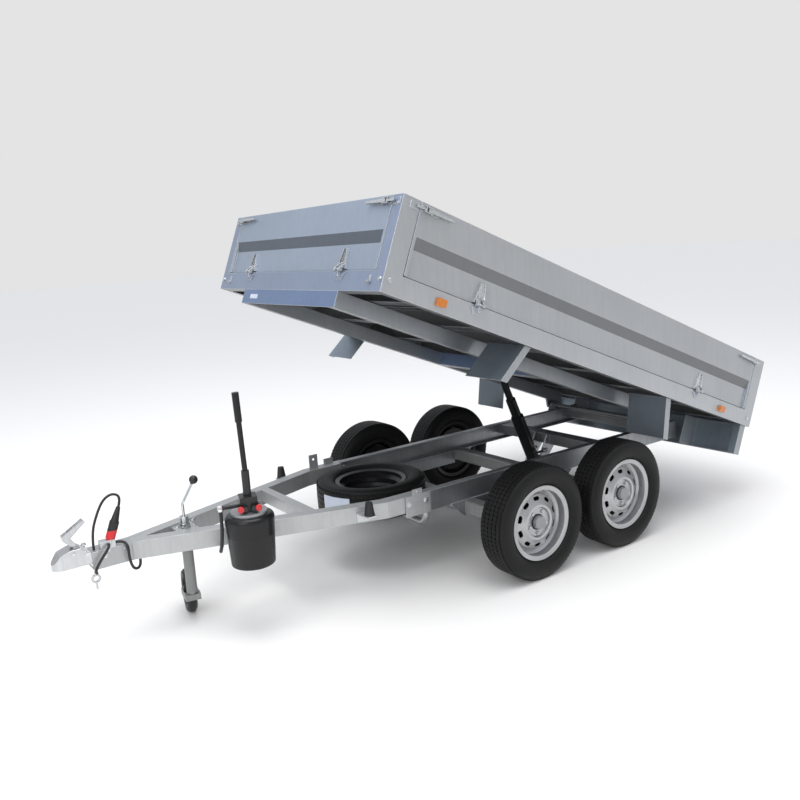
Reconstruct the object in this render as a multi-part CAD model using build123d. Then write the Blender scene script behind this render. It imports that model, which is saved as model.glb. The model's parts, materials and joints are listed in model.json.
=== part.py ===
from build123d import *
import os
from math import atan2, cos, degrees, hypot, radians, sin, tan

# Tandem-axle tipping trailer with drop sides, a hand-pumped ram and a V drawbar.
# Millimetres. +X is the trailer's left, -Y is forward, +Z is up, and the floor is z = 0.
# Stations along Y are measured from the front axle; everything moves by frame_shift at the end.

# Wheels and axles
tyre_radius = 280.5
tyre_width = 160.0
tyre_tread_width = 124.0
wheel_centre_x = 688.0
axle_spacing = 613.0
rim_flange_radius = 182.5
rim_bead_radius = 165.0
rim_well_radius = 146.0
rim_width = 124.0
rim_wall = 4.0
rim_lip = 5.0
disc_slots = 10
disc_slot_length = 38.0
disc_slot_height = 19.0
disc_slot_ring = 116.0
disc_face = 32.0
disc_ring_height = 12.0
wheel_bolts = 5
wheel_bolt_ring = 56.0
wheel_bolt_radius = 9.0
hub_radius = 44.0
hub_length = 96.0
hub_cap_radius = 31.0
hub_cap_length = 24.0
stub_radius = 20.0
running_gap = 0.6
axle_tube = 70.0
axle_tube_wall = 5.0
axle_chamfer = 7.0
axle_arm_reach = 150.0
axle_arm_thickness = 26.0
axle_arm_radius = 36.0
axle_end_gap = 3.0

# Main rails
rail_outer_x = 404.0
rail_top_z = 458.0
rail_height = 100.0
rail_flange = 40.0
rail_wall = 4.0
rail_front_y = -430.0
rail_behind_pivot = 215.3
skid_thickness = 6.0
skid_depth = 88.0
skid_overhang = 120.0
skid_taper = 90.0
cross_member_width = 80.0
cross_member_height = 60.0
cross_member_wall = 4.0
rear_member_gap = 80.0

# V drawbar
beam_height = 78.0
beam_width = 60.0
beam_wall = 4.0
beam_bend_y = -640.0
beam_bend_x = 400.0
beam_tip_y = -1720.0
beam_tip_x = 40.0
v_member_y = -955.0
v_member_width = 45.0
sleeve_length = 145.0
sleeve_behind = 32.0
sleeve_thickness = 6.0
sleeve_ear = 28.0
sleeve_ear_front = 40.0
sleeve_ear_length = 57.0
tab_y = -590.0
tab_size = 52.0
tab_thickness = 5.0
tab_hole_radius = 7.0

# Coupling
coupling_reach = 156.0
coupling_width = 82.0
coupling_nose_radius = 41.0
coupling_wall = 6.0
coupling_shank = 123.0
coupling_drop = 46.0
coupling_rise = 30.0
ball_radius = 25.2
ball_behind_tip = 52.0
socket_skirt = 14.0
nose_length = 165.0
nose_wall = 4.0
nose_gap = 0.4
lever_width = 34.0
lever_thickness = 7.0
lever_root = 92.0
lever_foot = 22.0
lever_knee = 44.0
lever_rise = 98.0
lever_reach = 58.0
lever_back = 38.0
lever_mouth = 32.0
hook_wire = 9.0
hook_loop_radius = 20.0

# Jockey wheel
jockey_x = 0.0
jockey_y = -1468.0
jockey_tube_radius = 24.0
jockey_tube_wall = 3.0
jockey_tube_bottom = 140.0
jockey_tube_top = 470.0
jockey_leg_in_tube = 80.0
jockey_head_radius = 20.0
jockey_head_height = 32.0
jockey_wheel_radius = 100.0
jockey_wheel_width = 48.0
jockey_trail = 130.0
jockey_turn = 167.0
jockey_fork_gap = 5.0
jockey_fork_plate = 5.0
jockey_arm_radius = 17.0
jockey_head_depth = 26.0
jockey_axle_radius = 8.0
crank_radius = 6.5
crank_rise = 57.0
crank_reach = 118.0
crank_climb = 131.0
crank_turn = 10.0
knob_radius = 19.0
clamp_height = 44.0
clamp_length = 96.0
clamp_drop = 8.0

# Hand pump
pump_x = 306.0
pump_y = -1290.0
tank_bottom_z = 322.0
tank_top_z = 548.0
tank_bottom_radius = 95.0
tank_top_radius = 106.0
tank_shoulder = 22.0
pump_neck_radius = 78.0
pump_neck_height = 12.0
pump_block = 74.0
pump_block_height = 66.0
pump_socket_radius = 17.0
pump_socket_top_z = 735.0
pump_handle_radius = 11.5
pump_grip_radius = 15.0
pump_handle_top_z = 1070.0
pump_grip_length = 125.0
pump_lean = 1.5
pump_valve_radius = 12.0
pump_bracket_thickness = 8.0
pump_bracket_height = 70.0
pump_bracket_width = 120.0

# Hydraulic hose, points chosen by hand from the pump's elbow to the ram's foot
hose_radius = 7.5
hose_fitting_radius = 12.0
hose_fitting_length = 26.0
hose_points = [
    (276.0, -1404.0, 574.0),
    (276.0, -1404.0, 505.0),
    (268.0, -1410.0, 425.0),
    (214.0, -1400.0, 366.0),
    (88.0, -1335.0, 366.0),
    (84.0, -1280.0, 374.0),
    (122.0, -1215.0, 388.0),
    (254.0, -840.0, 388.0),
    (321.0, -640.0, 388.0),
    (328.0, -430.0, 388.0),
    (382.0, -260.0, 371.0),
    (382.0, 500.0, 371.0),
    (345.0, 585.0, 371.0),
    (250.0, 612.0, 371.0),
    (128.0, 612.0, 371.0),
    (70.0, 640.0, 371.0),
    (70.0, 712.0, 371.0),
]

# Trailer lead: from the drawbar's nose over into the parked plug, and two tails from the holder.
# The points count along Y from the nose's front edge.
cord_arc_share = 0.45
lead_radius = 5.5
lead_points = [
    (14.0, 15.0, 458.3),
    (14.0, 15.0, 530.0),
    (18.0, 47.0, 615.0),
    (21.0, 79.0, 668.0),
    (25.0, 119.0, 684.0),
    (28.0, 148.0, 660.0),
    (28.0, 133.0, 622.0),
]
tail_radius = 6.0
tail_points = [
    (43.3, 70.0, 476.0),
    (64.0, 70.0, 476.0),
    (66.0, 25.0, 425.0),
    (62.0, -1.0, 384.0),
    (40.0, 12.0, 360.0),
    (9.3, 12.0, 360.0),
]
loop_points = [
    (30.0, 100.3, 474.0),
    (30.0, 127.0, 474.0),
    (64.0, 143.0, 462.0),
    (66.0, 141.0, 400.0),
    (62.0, 153.0, 352.0),
    (44.0, 179.0, 338.0),
    (34.0, 195.0, 352.0),
    (34.0, 195.0, 379.7),
]
plug_radius = 20.0
plug_boot_length = 62.0
plug_length = 74.0
plug_foot_length = 26.0
plug_foot_radius = 15.0
holder_front_gap = 37.0
holder_length = 63.0
holder_inner_x = 4.0
holder_outer_x = 41.0
holder_height = 34.0

# Spare wheel, flat between the rails
spare_y = -466.0
spare_top_z = 468.0
seat_gap = 0.3
carrier_radius = 15.0
carrier_y = -412.0
carrier_x = 384.0
carrier_bend = 45.0

# Bed
bed_length = 2770.0
bed_width = 1520.0
bed_rail_height = 88.0
bed_rail_flange = 45.0
bed_rail_wall = 3.0
floor_thickness = 3.0
bed_flat_z = 590.0
bed_tilt = 21.57
pivot_y = 1304.7
pivot_z = 490.0
pivot_s = 408.0
pivot_radius = 15.0
pivot_gap = 0.5
pivot_half_length = 448.0
pivot_lug_gap = 6.0
pivot_lug_inset = 10.0
pivot_lug_thickness = 14.0
pivot_lug_foot = 120.0
pivot_lug_head = 52.0
pivot_lug_rise = 24.0
subframe_outer_x = 450.0
subframe_width = 50.0
subframe_depth = 72.0
subframe_rear_s = 352.0
subframe_wall = 4.0
rib_width = 50.0
rib_wall = 3.0
rib_count = 7
rib_first_s = 150.0
rib_front_gap = 220.0
post_side = 88.0
post_end = 62.0
post_wall = 4.0

# Drop boards
board_top = 398.0
board_thickness = 28.0
board_recess = 12.0
board_gap = 5.0
board_step_low = 205.0
board_step_high = 256.0
board_end_zone = 14.0
pin_offset = 14.0
hinge_radius = 8.0
hinge_pin_radius = 4.0
pin_gap = 0.3
hinge_finger = 15.0
hinge_finger_gap = 18.0
hinge_strap_height = 98.0
hinge_strap_foot = 34.0
hinge_strap_head = 12.0
hinge_strap_thickness = 5.0
hinge_bend_height = 42.0
hinge_rib_width = 5.0
hinge_rib_height = 9.0
hinge_wing = 44.0
hinge_wing_foot = 20.0
side_hinge_rear_s = 585.0
side_hinge_front_gap = 507.0
end_hinge_x = 430.0
latch_height = 371.0
latch_plate = 92.0
latch_reach = 26.0
latch_length = 168.0
latch_width = 26.0
latch_thickness = 5.0
latch_bar = 11.0
latch_bar_depth = 9.0
latch_stand = 10.0
latch_catch_thickness = 4.0

# Flaps, light board and lamps
flap_inner_x = 500.0
flap_side_gap = 18.0
flap_thickness = 4.0
flap_flange = 40.0
flap_depth_front = 186.0
flap_depth_rear = 215.0
flap_front_top = 210.3
flap_front_low = 303.3
flap_rear_top = 284.7
flap_rear_low = 339.7
light_board_s = 20.0
light_board_depth = 175.0
light_board_lip = 50.0
light_board_gap = 14.0
light_board_wall = 3.0
light_board_post = 42.0
stay_x = 436.0
stay_reach = 90.0
lamp_width = 220.0
lamp_height = 92.0
lamp_depth = 26.0
lamp_centre_x = 580.0
lamp_h = -88.0
marker_length = 46.0
marker_height = 34.0
marker_depth = 14.0
marker_h = 42.0
marker_rear_s = 328.0
marker_front_gap = 305.0

# Ram: pins at its foot and its eye in the rest pose
ram_foot_y = 714.0
ram_foot_z = 290.0
ram_eye_y = 461.0
ram_eye_z = 870.0
ram_radius = 37.0
stage_radius = 28.0
rod_radius = 20.0
ram_gap = 0.8
ram_barrel_end = 330.0
stage_end = 450.0
stage_start = 175.0
rod_start = 290.0
ram_bore_start = 60.0
ram_eye_radius = 26.0
ram_foot_width = 76.0
ram_eye_width = 44.0
ram_pin_radius = 12.5
ram_lug_thickness = 9.0
ram_lug_gap = 5.0
ram_member_y = 830.0
stop_y = -760.0
stop_radius = 25.0
stop_head_radius = 16.0
stop_gap = 25.0
stop_height = 62.0
stop_bracket = 6.0

# Places worked out from the sizes above
rail_rear_y = pivot_y + rail_behind_pivot
rear_member_y = rail_rear_y - rear_member_gap
nose_front_y = beam_tip_y - nose_length
coupling_tip_y = nose_front_y - coupling_reach
coupling_rear_y = nose_front_y + coupling_shank
coupling_bottom_z = rail_top_z - coupling_drop
coupling_top_z = rail_top_z + coupling_rise
holder_front_y = nose_front_y + holder_front_gap
holder_rear_y = holder_front_y + holder_length
holder_top_z = rail_top_z + holder_height
pivot_h = pivot_z - bed_flat_z
rail_bottom_z = rail_top_z - rail_height
beam_bottom_z = rail_top_z - beam_height
beam_slope = (beam_bend_x - beam_tip_x) / (beam_bend_y - beam_tip_y)
beam_angle = degrees(atan2(beam_bend_x - beam_tip_x, beam_bend_y - beam_tip_y))
beam_width_x = beam_width / cos(radians(beam_angle))
axle_z = tyre_radius
axle_tube_z = rail_bottom_z - axle_tube / 2
latch_out = latch_thickness + latch_stand + latch_bar_depth / 2
latch_up = latch_height + latch_bar / 2 - pivot_h
tail_reach = (pivot_s + latch_out) * cos(radians(bed_tilt)) + latch_up * sin(radians(bed_tilt))
frame_shift = -(coupling_tip_y + pivot_y + tail_reach) / 2
bed_place = Pos(0, pivot_y, pivot_z) * Rot(-bed_tilt, 0, 0) * Pos(0, pivot_s, -pivot_h)
board_bottom = bed_rail_height + board_gap
seam_h = bed_rail_height
half_bed = bed_width / 2
front_axle_s = pivot_s + pivot_y
rear_axle_s = front_axle_s - axle_spacing
rib_pitch = (bed_length - rib_first_s - rib_front_gap) / (rib_count - 1)
side_hinge_s = (side_hinge_rear_s, bed_length - side_hinge_front_gap)
marker_s = (marker_rear_s, bed_length - marker_front_gap)
flap_outer_x = half_bed - flap_side_gap
light_board_half = half_bed - light_board_gap


def block(x0, x1, y0, y1, z0, z1):
    """A box between two corners."""
    return Pos((x0 + x1) / 2, (y0 + y1) / 2, (z0 + z1) / 2) * Box(
        abs(x1 - x0), abs(y1 - y0), abs(z1 - z0))


def rod(start, end, radius):
    """A round bar between two points."""
    a = Vector(*start)
    b = Vector(*end)
    plane = Plane(origin=a, z_dir=b - a)
    return plane * Cylinder(radius, (b - a).length, align=(Align.CENTER, Align.CENTER, Align.MIN))


def bent_rod(points, radius, bend):
    """A round bar: straight runs joined by arcs of one or more bend radii."""
    path = FilletPolyline(*points, radius=bend)
    section = Plane(origin=path @ 0, z_dir=path % 0) * Circle(radius)
    return sweep(section, path=path)


def cord(name, points, radius):
    """A round cord whose arcs are as large as its runs allow."""
    radii = []
    for before, corner, after in zip(points, points[1:], points[2:]):
        run_in = Vector(*corner) - Vector(*before)
        run_out = Vector(*after) - Vector(*corner)
        half_turn = radians(run_in.get_angle(run_out)) / 2
        radii.append(cord_arc_share * min(run_in.length, run_out.length) / tan(half_turn))
    print(name, "radii", [round(r) for r in radii])
    return bent_rod(points, radius, radii)


def plan(points, z0, z1):
    """A plan outline raised from z0 to z1."""
    return Pos(0, 0, z0) * extrude(make_face(Polyline(*points, close=True)), z1 - z0)


def side_outline(points, x0, x1):
    """A (y, z) outline made solid from x0 to x1."""
    plane = Plane(origin=(x0, 0, 0), x_dir=(0, 1, 0), z_dir=(1, 0, 0))
    return extrude(plane * make_face(Polyline(*points, close=True)), x1 - x0)


def both_sides(shape):
    """A piece and its mirror image across the trailer's centre plane."""
    return [shape, mirror(shape, about=Plane.YZ)]


def beam_outer_x(y):
    """The drawbar beam's outer edge at station y."""
    return beam_tip_x + (y - beam_tip_y) * beam_slope


def beam_inner_x(y):
    """The drawbar beam's inner edge at station y."""
    return beam_outer_x(y) - beam_width_x


def drawbar_beam():
    """The left beam of the V, a rectangular tube with one bend, open at its rear end."""
    join_y = beam_tip_y + (beam_width_x - beam_tip_x) / beam_slope
    outline = [(0, beam_tip_y), (beam_tip_x, beam_tip_y), (beam_bend_x, beam_bend_y),
               (rail_outer_x, rail_front_y), (rail_outer_x - beam_width, rail_front_y),
               (beam_inner_x(beam_bend_y), beam_bend_y), (0, join_y)]
    tube = plan(outline, beam_bottom_z, rail_top_z)
    w = beam_wall
    bore = [(w, join_y + w), (beam_outer_x(join_y) - w, join_y + w), (beam_bend_x - w, beam_bend_y),
            (rail_outer_x - w, rail_front_y + w), (rail_outer_x - beam_width + w, rail_front_y + w),
            (beam_inner_x(beam_bend_y) + w, beam_bend_y)]
    return tube - plan(bore, beam_bottom_z + w, rail_top_z - w)


def drawbar_cross_member():
    """The tie across the V, mitred to both beams."""
    y0 = v_member_y - v_member_width / 2
    y1 = v_member_y + v_member_width / 2
    outline = [(beam_inner_x(y0), y0), (beam_inner_x(y1), y1), (-beam_inner_x(y1), y1),
               (-beam_inner_x(y0), y0)]
    return plan(outline, rail_top_z - cross_member_height, rail_top_z)


def main_rail():
    """The left rail, a C section open towards the middle, with the skid plate that takes the axles."""
    inner_x = rail_outer_x - rail_flange
    rail = block(inner_x, rail_outer_x, rail_front_y, rail_rear_y, rail_bottom_z, rail_top_z)
    rail -= block(inner_x, rail_outer_x - rail_wall, rail_front_y, rail_rear_y,
                  rail_bottom_z + rail_wall, rail_top_z - rail_wall)
    front = -axle_arm_reach - skid_overhang
    rear = axle_spacing - axle_arm_reach + skid_overhang
    low = rail_bottom_z - skid_depth
    skid = side_outline([(front, rail_bottom_z + rail_wall), (rear, rail_bottom_z + rail_wall),
                         (rear, rail_bottom_z - rail_wall), (rear - skid_taper, low),
                         (front + skid_taper, low), (front, rail_bottom_z - rail_wall)],
                        rail_outer_x, rail_outer_x + skid_thickness)
    half = axle_tube / 2 + seat_gap
    for axle_y in (0, axle_spacing):
        y = axle_y - axle_arm_reach
        skid -= block(rail_outer_x - 1, rail_outer_x + skid_thickness + 1, y - half, y + half,
                      low - 1, rail_bottom_z)
    return rail + skid


def joint_sleeves():
    """Plates that tie the beams to the rails, with an ear on top, and the lock tab on the right."""
    pieces = []
    y1 = rail_front_y + sleeve_behind
    y0 = y1 - sleeve_length
    x0 = rail_outer_x + 2 * seat_gap
    x1 = x0 + sleeve_thickness
    ear_y = y0 + sleeve_ear_front
    plate = block(x0, x1, y0, y1, rail_bottom_z, rail_top_z)
    plate += block(x0, x1, ear_y, ear_y + sleeve_ear_length, rail_top_z - 1, rail_top_z + sleeve_ear)
    for piece in both_sides(plate):
        pieces.append(piece)
    tab = block(-beam_bend_x + beam_width / 2, -beam_bend_x + beam_width / 2 + tab_thickness,
                tab_y - tab_size / 2, tab_y + tab_size / 2, rail_top_z, rail_top_z + 1.5 * tab_size)
    hole = rod((-beam_bend_x, tab_y, rail_top_z + tab_size), (0, tab_y, rail_top_z + tab_size),
               tab_hole_radius)
    pieces.append(tab - hole)
    return Compound(children=pieces)


def drawbar_nose():
    """The channel that wraps the tip of the V and takes the coupling's shank."""
    half = coupling_width / 2
    sleeve = block(-half, half, nose_front_y, beam_tip_y - nose_gap, beam_bottom_z, rail_top_z)
    inner = half - nose_wall
    return sleeve - block(-inner, inner, nose_front_y, beam_tip_y - nose_gap - nose_wall,
                          beam_bottom_z + nose_wall, rail_top_z - nose_wall)


def coupling_body():
    """The pressed ball coupling, a hollow nose with a socket, and its shank in the drawbar's nose."""
    half = coupling_width / 2
    nose_y = coupling_tip_y + coupling_nose_radius
    rear = nose_front_y - nose_gap
    low = coupling_bottom_z
    outline = plan([(-half, nose_y), (half, nose_y), (half, rear), (-half, rear)], low, coupling_top_z)
    outline += Pos(0, nose_y, low) * Cylinder(
        coupling_nose_radius, coupling_top_z - low, align=(Align.CENTER, Align.CENTER, Align.MIN))
    crown = side_outline([(coupling_tip_y - 1, low), (coupling_tip_y - 1, low + 22),
                          (coupling_tip_y + 34, coupling_top_z - 14), (coupling_tip_y + 76, coupling_top_z),
                          (rear - 40, coupling_top_z), (rear + 1, rail_top_z), (rear + 1, low)],
                         -half - 1, half + 1)
    body = outline & crown
    hollow = block(-half + coupling_wall, half - coupling_wall, nose_y + ball_radius + 22, rear - 8,
                   low - 1, coupling_top_z - 30)
    body -= hollow
    ball_y = coupling_tip_y + ball_behind_tip
    ball_z = low + socket_skirt
    body -= Pos(0, ball_y, ball_z) * Sphere(ball_radius)
    body -= Pos(0, ball_y, low - 1) * Cylinder(
        ball_radius, socket_skirt + 1, align=(Align.CENTER, Align.CENTER, Align.MIN))
    shank = half - nose_wall - nose_gap
    body += block(-shank, shank, rear - 2, coupling_rear_y, beam_bottom_z + nose_wall + nose_gap + 8,
                  rail_top_z - nose_wall - nose_gap)
    return body


def coupling_lever():
    """The cranked hand lever on the coupling's crown."""
    root_y = coupling_tip_y + lever_root
    top = coupling_top_z + seat_gap
    t = lever_thickness
    high = top + lever_rise
    tip = root_y + lever_reach
    back = root_y - lever_back
    grip = side_outline([(root_y, top), (root_y + lever_foot, top), (root_y - 8, top + lever_knee),
                         (tip, high), (tip - 6, high + 1.6 * t), (back, top + lever_knee + 12),
                         (back + 2, top + lever_knee - 8)],
                        -lever_width / 2, lever_width / 2)
    slot = side_outline([(root_y - 10, top + lever_knee + 18), (tip - lever_foot, high - 4),
                         (tip - 8, high + lever_mouth), (back - 12, high - 8)],
                        -lever_width / 2 + t, lever_width / 2 - t)
    return grip - slot


def safety_hook():
    """A spring hook hanging on a short strap below the drawbar's nose."""
    y = nose_front_y + 12
    z = beam_bottom_z - seat_gap
    strap = block(-9, 9, y - 4, y + 4, z - 34, z)
    mid = z - 32 - hook_loop_radius
    half = hook_wire / 2
    ring = rod((-half, y, mid), (half, y, mid), hook_loop_radius)
    ring -= rod((-hook_wire, y, mid), (hook_wire, y, mid), hook_loop_radius - hook_wire)
    low = mid - hook_loop_radius
    return strap + ring + rod((0, y, low + 3), (0, y, low - 26), half)


def jockey_clamp():
    """The bored plate between the beams that grips the jockey tube."""
    y0 = jockey_y - clamp_length / 2
    y1 = jockey_y + clamp_length / 2
    outline = [(beam_inner_x(y0), y0), (beam_inner_x(y1), y1), (-beam_inner_x(y1), y1),
               (-beam_inner_x(y0), y0)]
    top = rail_top_z - clamp_drop
    plate = plan(outline, top - clamp_height, top)
    bore = rod((jockey_x, jockey_y, 0), (jockey_x, jockey_y, rail_top_z + 10),
               jockey_tube_radius + running_gap)
    return plate - bore


def jockey_post():
    """The outer tube, its crank head and the crank with its ball knob."""
    tube = rod((jockey_x, jockey_y, jockey_tube_bottom), (jockey_x, jockey_y, jockey_tube_top),
               jockey_tube_radius)
    tube -= rod((jockey_x, jockey_y, jockey_tube_bottom - 1),
                (jockey_x, jockey_y, jockey_tube_top - 20), jockey_tube_radius - jockey_tube_wall)
    head_top = jockey_tube_top + jockey_head_height
    tube += rod((jockey_x, jockey_y, jockey_tube_top), (jockey_x, jockey_y, head_top), jockey_head_radius)
    turn = radians(crank_turn)
    elbow = (jockey_x, jockey_y, head_top + crank_rise)
    end = (jockey_x + crank_reach * cos(turn), jockey_y + crank_reach * sin(turn),
           elbow[2] + crank_climb)
    crank = bent_rod([(jockey_x, jockey_y, head_top - 2), elbow, end], crank_radius, 3 * crank_radius)
    return tube + crank + Pos(*end) * Sphere(knob_radius)


def jockey_frame():
    """The place and turn of the trailing jockey wheel."""
    return Pos(jockey_x, jockey_y, 0) * Rot(0, 0, jockey_turn)


def jockey_fork():
    """The sliding leg and the fork, built with the wheel trailing along local +X."""
    leg = rod((0, 0, jockey_tube_bottom - 10), (0, 0, jockey_tube_bottom + jockey_leg_in_tube),
              jockey_tube_radius - jockey_tube_wall - running_gap)
    inside = jockey_wheel_width / 2 + jockey_fork_gap
    outside = inside + jockey_fork_plate
    reach = jockey_tube_radius + 2
    head_z = jockey_tube_bottom - 4
    fork = block(-reach, reach - 8, -outside, outside, head_z - jockey_head_depth, head_z)
    for side in (-1, 1):
        outline = Polyline((-reach, head_z), (jockey_trail, jockey_wheel_radius + jockey_arm_radius),
                           (jockey_trail, jockey_wheel_radius - jockey_arm_radius),
                           (-reach, head_z - jockey_head_depth), close=True)
        arm = extrude(make_face(outline), jockey_fork_plate / 2, both=True)
        fork += Pos(0, side * (inside + outside) / 2, 0) * Rot(90, 0, 0) * arm
        fork += rod((jockey_trail, side * inside, jockey_wheel_radius),
                    (jockey_trail, side * outside, jockey_wheel_radius), jockey_arm_radius)
    fork += rod((jockey_trail, -outside, jockey_wheel_radius), (jockey_trail, outside, jockey_wheel_radius),
                jockey_axle_radius)
    tyre_room = Pos(jockey_trail, 0, jockey_wheel_radius) * Rot(90, 0, 0) * Cylinder(
        jockey_wheel_radius + 5, jockey_wheel_width + 8)
    axle = rod((jockey_trail, -outside, jockey_wheel_radius), (jockey_trail, outside, jockey_wheel_radius),
               jockey_axle_radius)
    return jockey_frame() * (fork + leg - tyre_room + axle)


def jockey_wheel():
    """The small wheel: a tyre ring on a webbed hub, in one solid."""
    half = jockey_wheel_width / 2
    r = jockey_wheel_radius
    bore = jockey_axle_radius + running_gap
    profile = Polyline((bore, -half), (26, -half), (30, -9), (62, -9), (66, -half + 4), (r - 9, -half + 1),
                       (r, -half + 11), (r, half - 11), (r - 9, half - 1), (66, half - 4), (62, 9),
                       (30, 9), (26, half), (bore, half), close=True)
    wheel = revolve(make_face(profile), Axis.Y)
    return jockey_frame() * Pos(jockey_trail, 0, jockey_wheel_radius) * wheel


def pump_frame():
    """The pump's foot, turned to stand square to the beam."""
    return Pos(pump_x, pump_y, 0) * Rot(0, 0, -beam_angle)


def pump_tank():
    """The oil tank, tapered, with a rounded shoulder."""
    r0 = tank_bottom_radius
    r1 = tank_top_radius
    s = tank_shoulder
    profile = [Line((0, tank_bottom_z), (r0 - 10, tank_bottom_z)),
               Line((r0 - 10, tank_bottom_z), (r0, tank_bottom_z + 10)),
               Line((r0, tank_bottom_z + 10), (r1, tank_top_z - s)),
               Line((r1, tank_top_z - s), (r1 - s, tank_top_z)),
               Line((r1 - s, tank_top_z), (0, tank_top_z)),
               Line((0, tank_top_z), (0, tank_bottom_z))]
    face = Plane.XZ * make_face(Curve() + profile)
    return pump_frame() * revolve(face, Axis.Z)


def pump_head():
    """The flange, valve block, lever socket, elbow and two valve knobs, with the plate to the beam."""
    base = tank_top_z + seat_gap
    head = rod((0, 0, base), (0, 0, base + pump_neck_height), pump_neck_radius)
    top = base + pump_neck_height + pump_block_height
    b = pump_block / 2
    head += block(-b, b, -b, b, base + pump_neck_height, top)
    head += rod((0, 0, top - 2), (0, 0, pump_socket_top_z), pump_socket_radius)
    for x, y in ((b, -b / 2), (b, b / 2)):
        head += rod((x - 2, y, base + 34), (x + 24, y, base + 34), pump_valve_radius)
    gap = (pump_x - beam_outer_x(pump_y)) * cos(radians(beam_angle))
    foot_x = -gap + seat_gap
    w = pump_bracket_width / 2
    head += block(foot_x, foot_x + pump_bracket_thickness, -w, w, rail_top_z - pump_bracket_height,
                  base + pump_neck_height)
    head += block(foot_x, 0, -b, b, base, base + pump_neck_height)
    start = hose_points[0]
    port = pump_frame() * head
    port += rod(start, (start[0], start[1], start[2] + hose_fitting_length), hose_fitting_radius)
    port += rod((start[0], start[1], start[2] + hose_fitting_length / 2),
                (pump_x, pump_y, start[2] + hose_fitting_length / 2), 0.7 * hose_fitting_radius)
    tank_room = pump_frame() * rod((0, 0, tank_bottom_z), (0, 0, tank_top_z + seat_gap / 2),
                                   tank_top_radius + 1)
    return port - tank_room


def pump_handle():
    """The long hand lever, a little off upright, with a thicker grip."""
    start = (0, 0, pump_socket_top_z + seat_gap)
    lean = sin(radians(pump_lean))
    end = (0, -lean * (pump_handle_top_z - start[2]), pump_handle_top_z)
    k = 1 - pump_grip_length / (pump_handle_top_z - start[2])
    grip = (0, k * end[1], start[2] + k * (end[2] - start[2]))
    bar = rod(start, end, pump_handle_radius)
    return pump_frame() * (bar + rod(grip, end, pump_grip_radius))


def wheel_profile_rim():
    """Half section of the rim and its disc, as (radius, outward) points."""
    h = rim_width / 2
    t = rim_wall
    f = rim_flange_radius
    b = rim_bead_radius
    w = rim_well_radius
    barrel = [(f, -h), (f, -h + t), (b + t, -h + 6), (b, -h + 22), (w, -h + 36), (w, 6), (b, 20),
              (b + t, h - 6), (f, h - t), (f, h), (b - t, h - rim_lip), (b - t, 18), (w - t, 4),
              (w - t, -h + 38), (b - t, -h + 24), (b - t, -h + rim_lip)]
    return barrel


def wheel_profile_disc():
    """Half section of the dished disc with its raised ring, as (radius, outward) points."""
    w = rim_well_radius - rim_wall + 1
    t = rim_wall
    d = disc_face
    up = d + disc_ring_height
    outer = [(w, 6), (w - 8, 22), (100, d + 4), (86, up), (74, up), (68, d), (hub_cap_radius, d)]
    inner = [(hub_cap_radius, d - t), (69, d - t), (76, up - t), (84, up - t), (98, d), (w - 12, 20 - t / 2),
             (w, 6 - t)]
    return outer + inner


def wheel_rim(with_hub=True):
    """A steel rim about local X, outward along +X, with slots, wheel bolts and its hub."""
    spin = Plane(origin=(0, 0, 0), x_dir=(0, 1, 0), z_dir=(0, 0, 1))
    barrel = revolve(spin * make_face(Polyline(*[(r, -x) for r, x in wheel_profile_rim()], close=True)),
                     Axis.X)
    disc = revolve(spin * make_face(Polyline(*[(r, -x) for r, x in wheel_profile_disc()], close=True)),
                   Axis.X)
    slot = Plane.YZ * SlotOverall(disc_slot_length, disc_slot_height)
    cutter = extrude(slot, 2 * disc_face)
    for k in range(disc_slots):
        disc -= Rot(360 * k / disc_slots, 0, 0) * Pos(0, 0, disc_slot_ring) * cutter
    rim = barrel + disc
    for k in range(wheel_bolts):
        turn = Rot(360 * (k + 0.5) / wheel_bolts, 0, 0)
        if with_hub:
            rim += turn * Pos(disc_face - 1, 0, wheel_bolt_ring) * Rot(0, 90, 0) * Cylinder(
                wheel_bolt_radius, 9, align=(Align.CENTER, Align.CENTER, Align.MIN))
        else:
            rim -= turn * Pos(0, 0, wheel_bolt_ring) * Rot(0, 90, 0) * Cylinder(wheel_bolt_radius, 2 * rim_width)
    if with_hub:
        rim += rod((disc_face - hub_length, 0, 0), (disc_face, 0, 0), hub_radius)
        rim += rod((disc_face - 1, 0, 0), (disc_face + hub_cap_length, 0, 0), hub_cap_radius)
        rim -= rod((disc_face - hub_length - 1, 0, 0), (disc_face - 30, 0, 0), stub_radius + running_gap)
    return rim


def wheel_tyre():
    """A tyre about local X; its tread pattern is not cut."""
    h = tyre_width / 2
    seat = rim_bead_radius + rim_wall + 0.5
    edge = rim_width / 2 - 7
    bulge = (tyre_radius + rim_flange_radius) / 2 - 2
    shoulder = tyre_radius - 10
    tread = tyre_tread_width / 2
    right = [Line((seat, edge), (rim_flange_radius + 2, edge)),
             ThreePointArc((rim_flange_radius + 2, edge), (bulge, h), (shoulder, h - 12)),
             Line((shoulder, h - 12), (tyre_radius - 1.5, tread)),
             ThreePointArc((tyre_radius - 1.5, tread), (tyre_radius, 0), (tyre_radius - 1.5, -tread)),
             Line((tyre_radius - 1.5, -tread), (shoulder, -h + 12)),
             ThreePointArc((shoulder, -h + 12), (bulge, -h), (rim_flange_radius + 2, -edge)),
             Line((rim_flange_radius + 2, -edge), (seat, -edge)),
             Line((seat, -edge), (seat, edge))]
    spin = Plane(origin=(0, 0, 0), x_dir=(0, 1, 0), z_dir=(0, 0, 1))
    return revolve(spin * make_face(Curve() + right), Axis.X)


def wheel_place(side, axle_y):
    """Where a road wheel sits; side is 1 on the left and -1 on the right."""
    turn = Rot(0, 0, 0) if side > 0 else Rot(0, 0, 180)
    return Pos(side * wheel_centre_x, axle_y, axle_z) * turn


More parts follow.
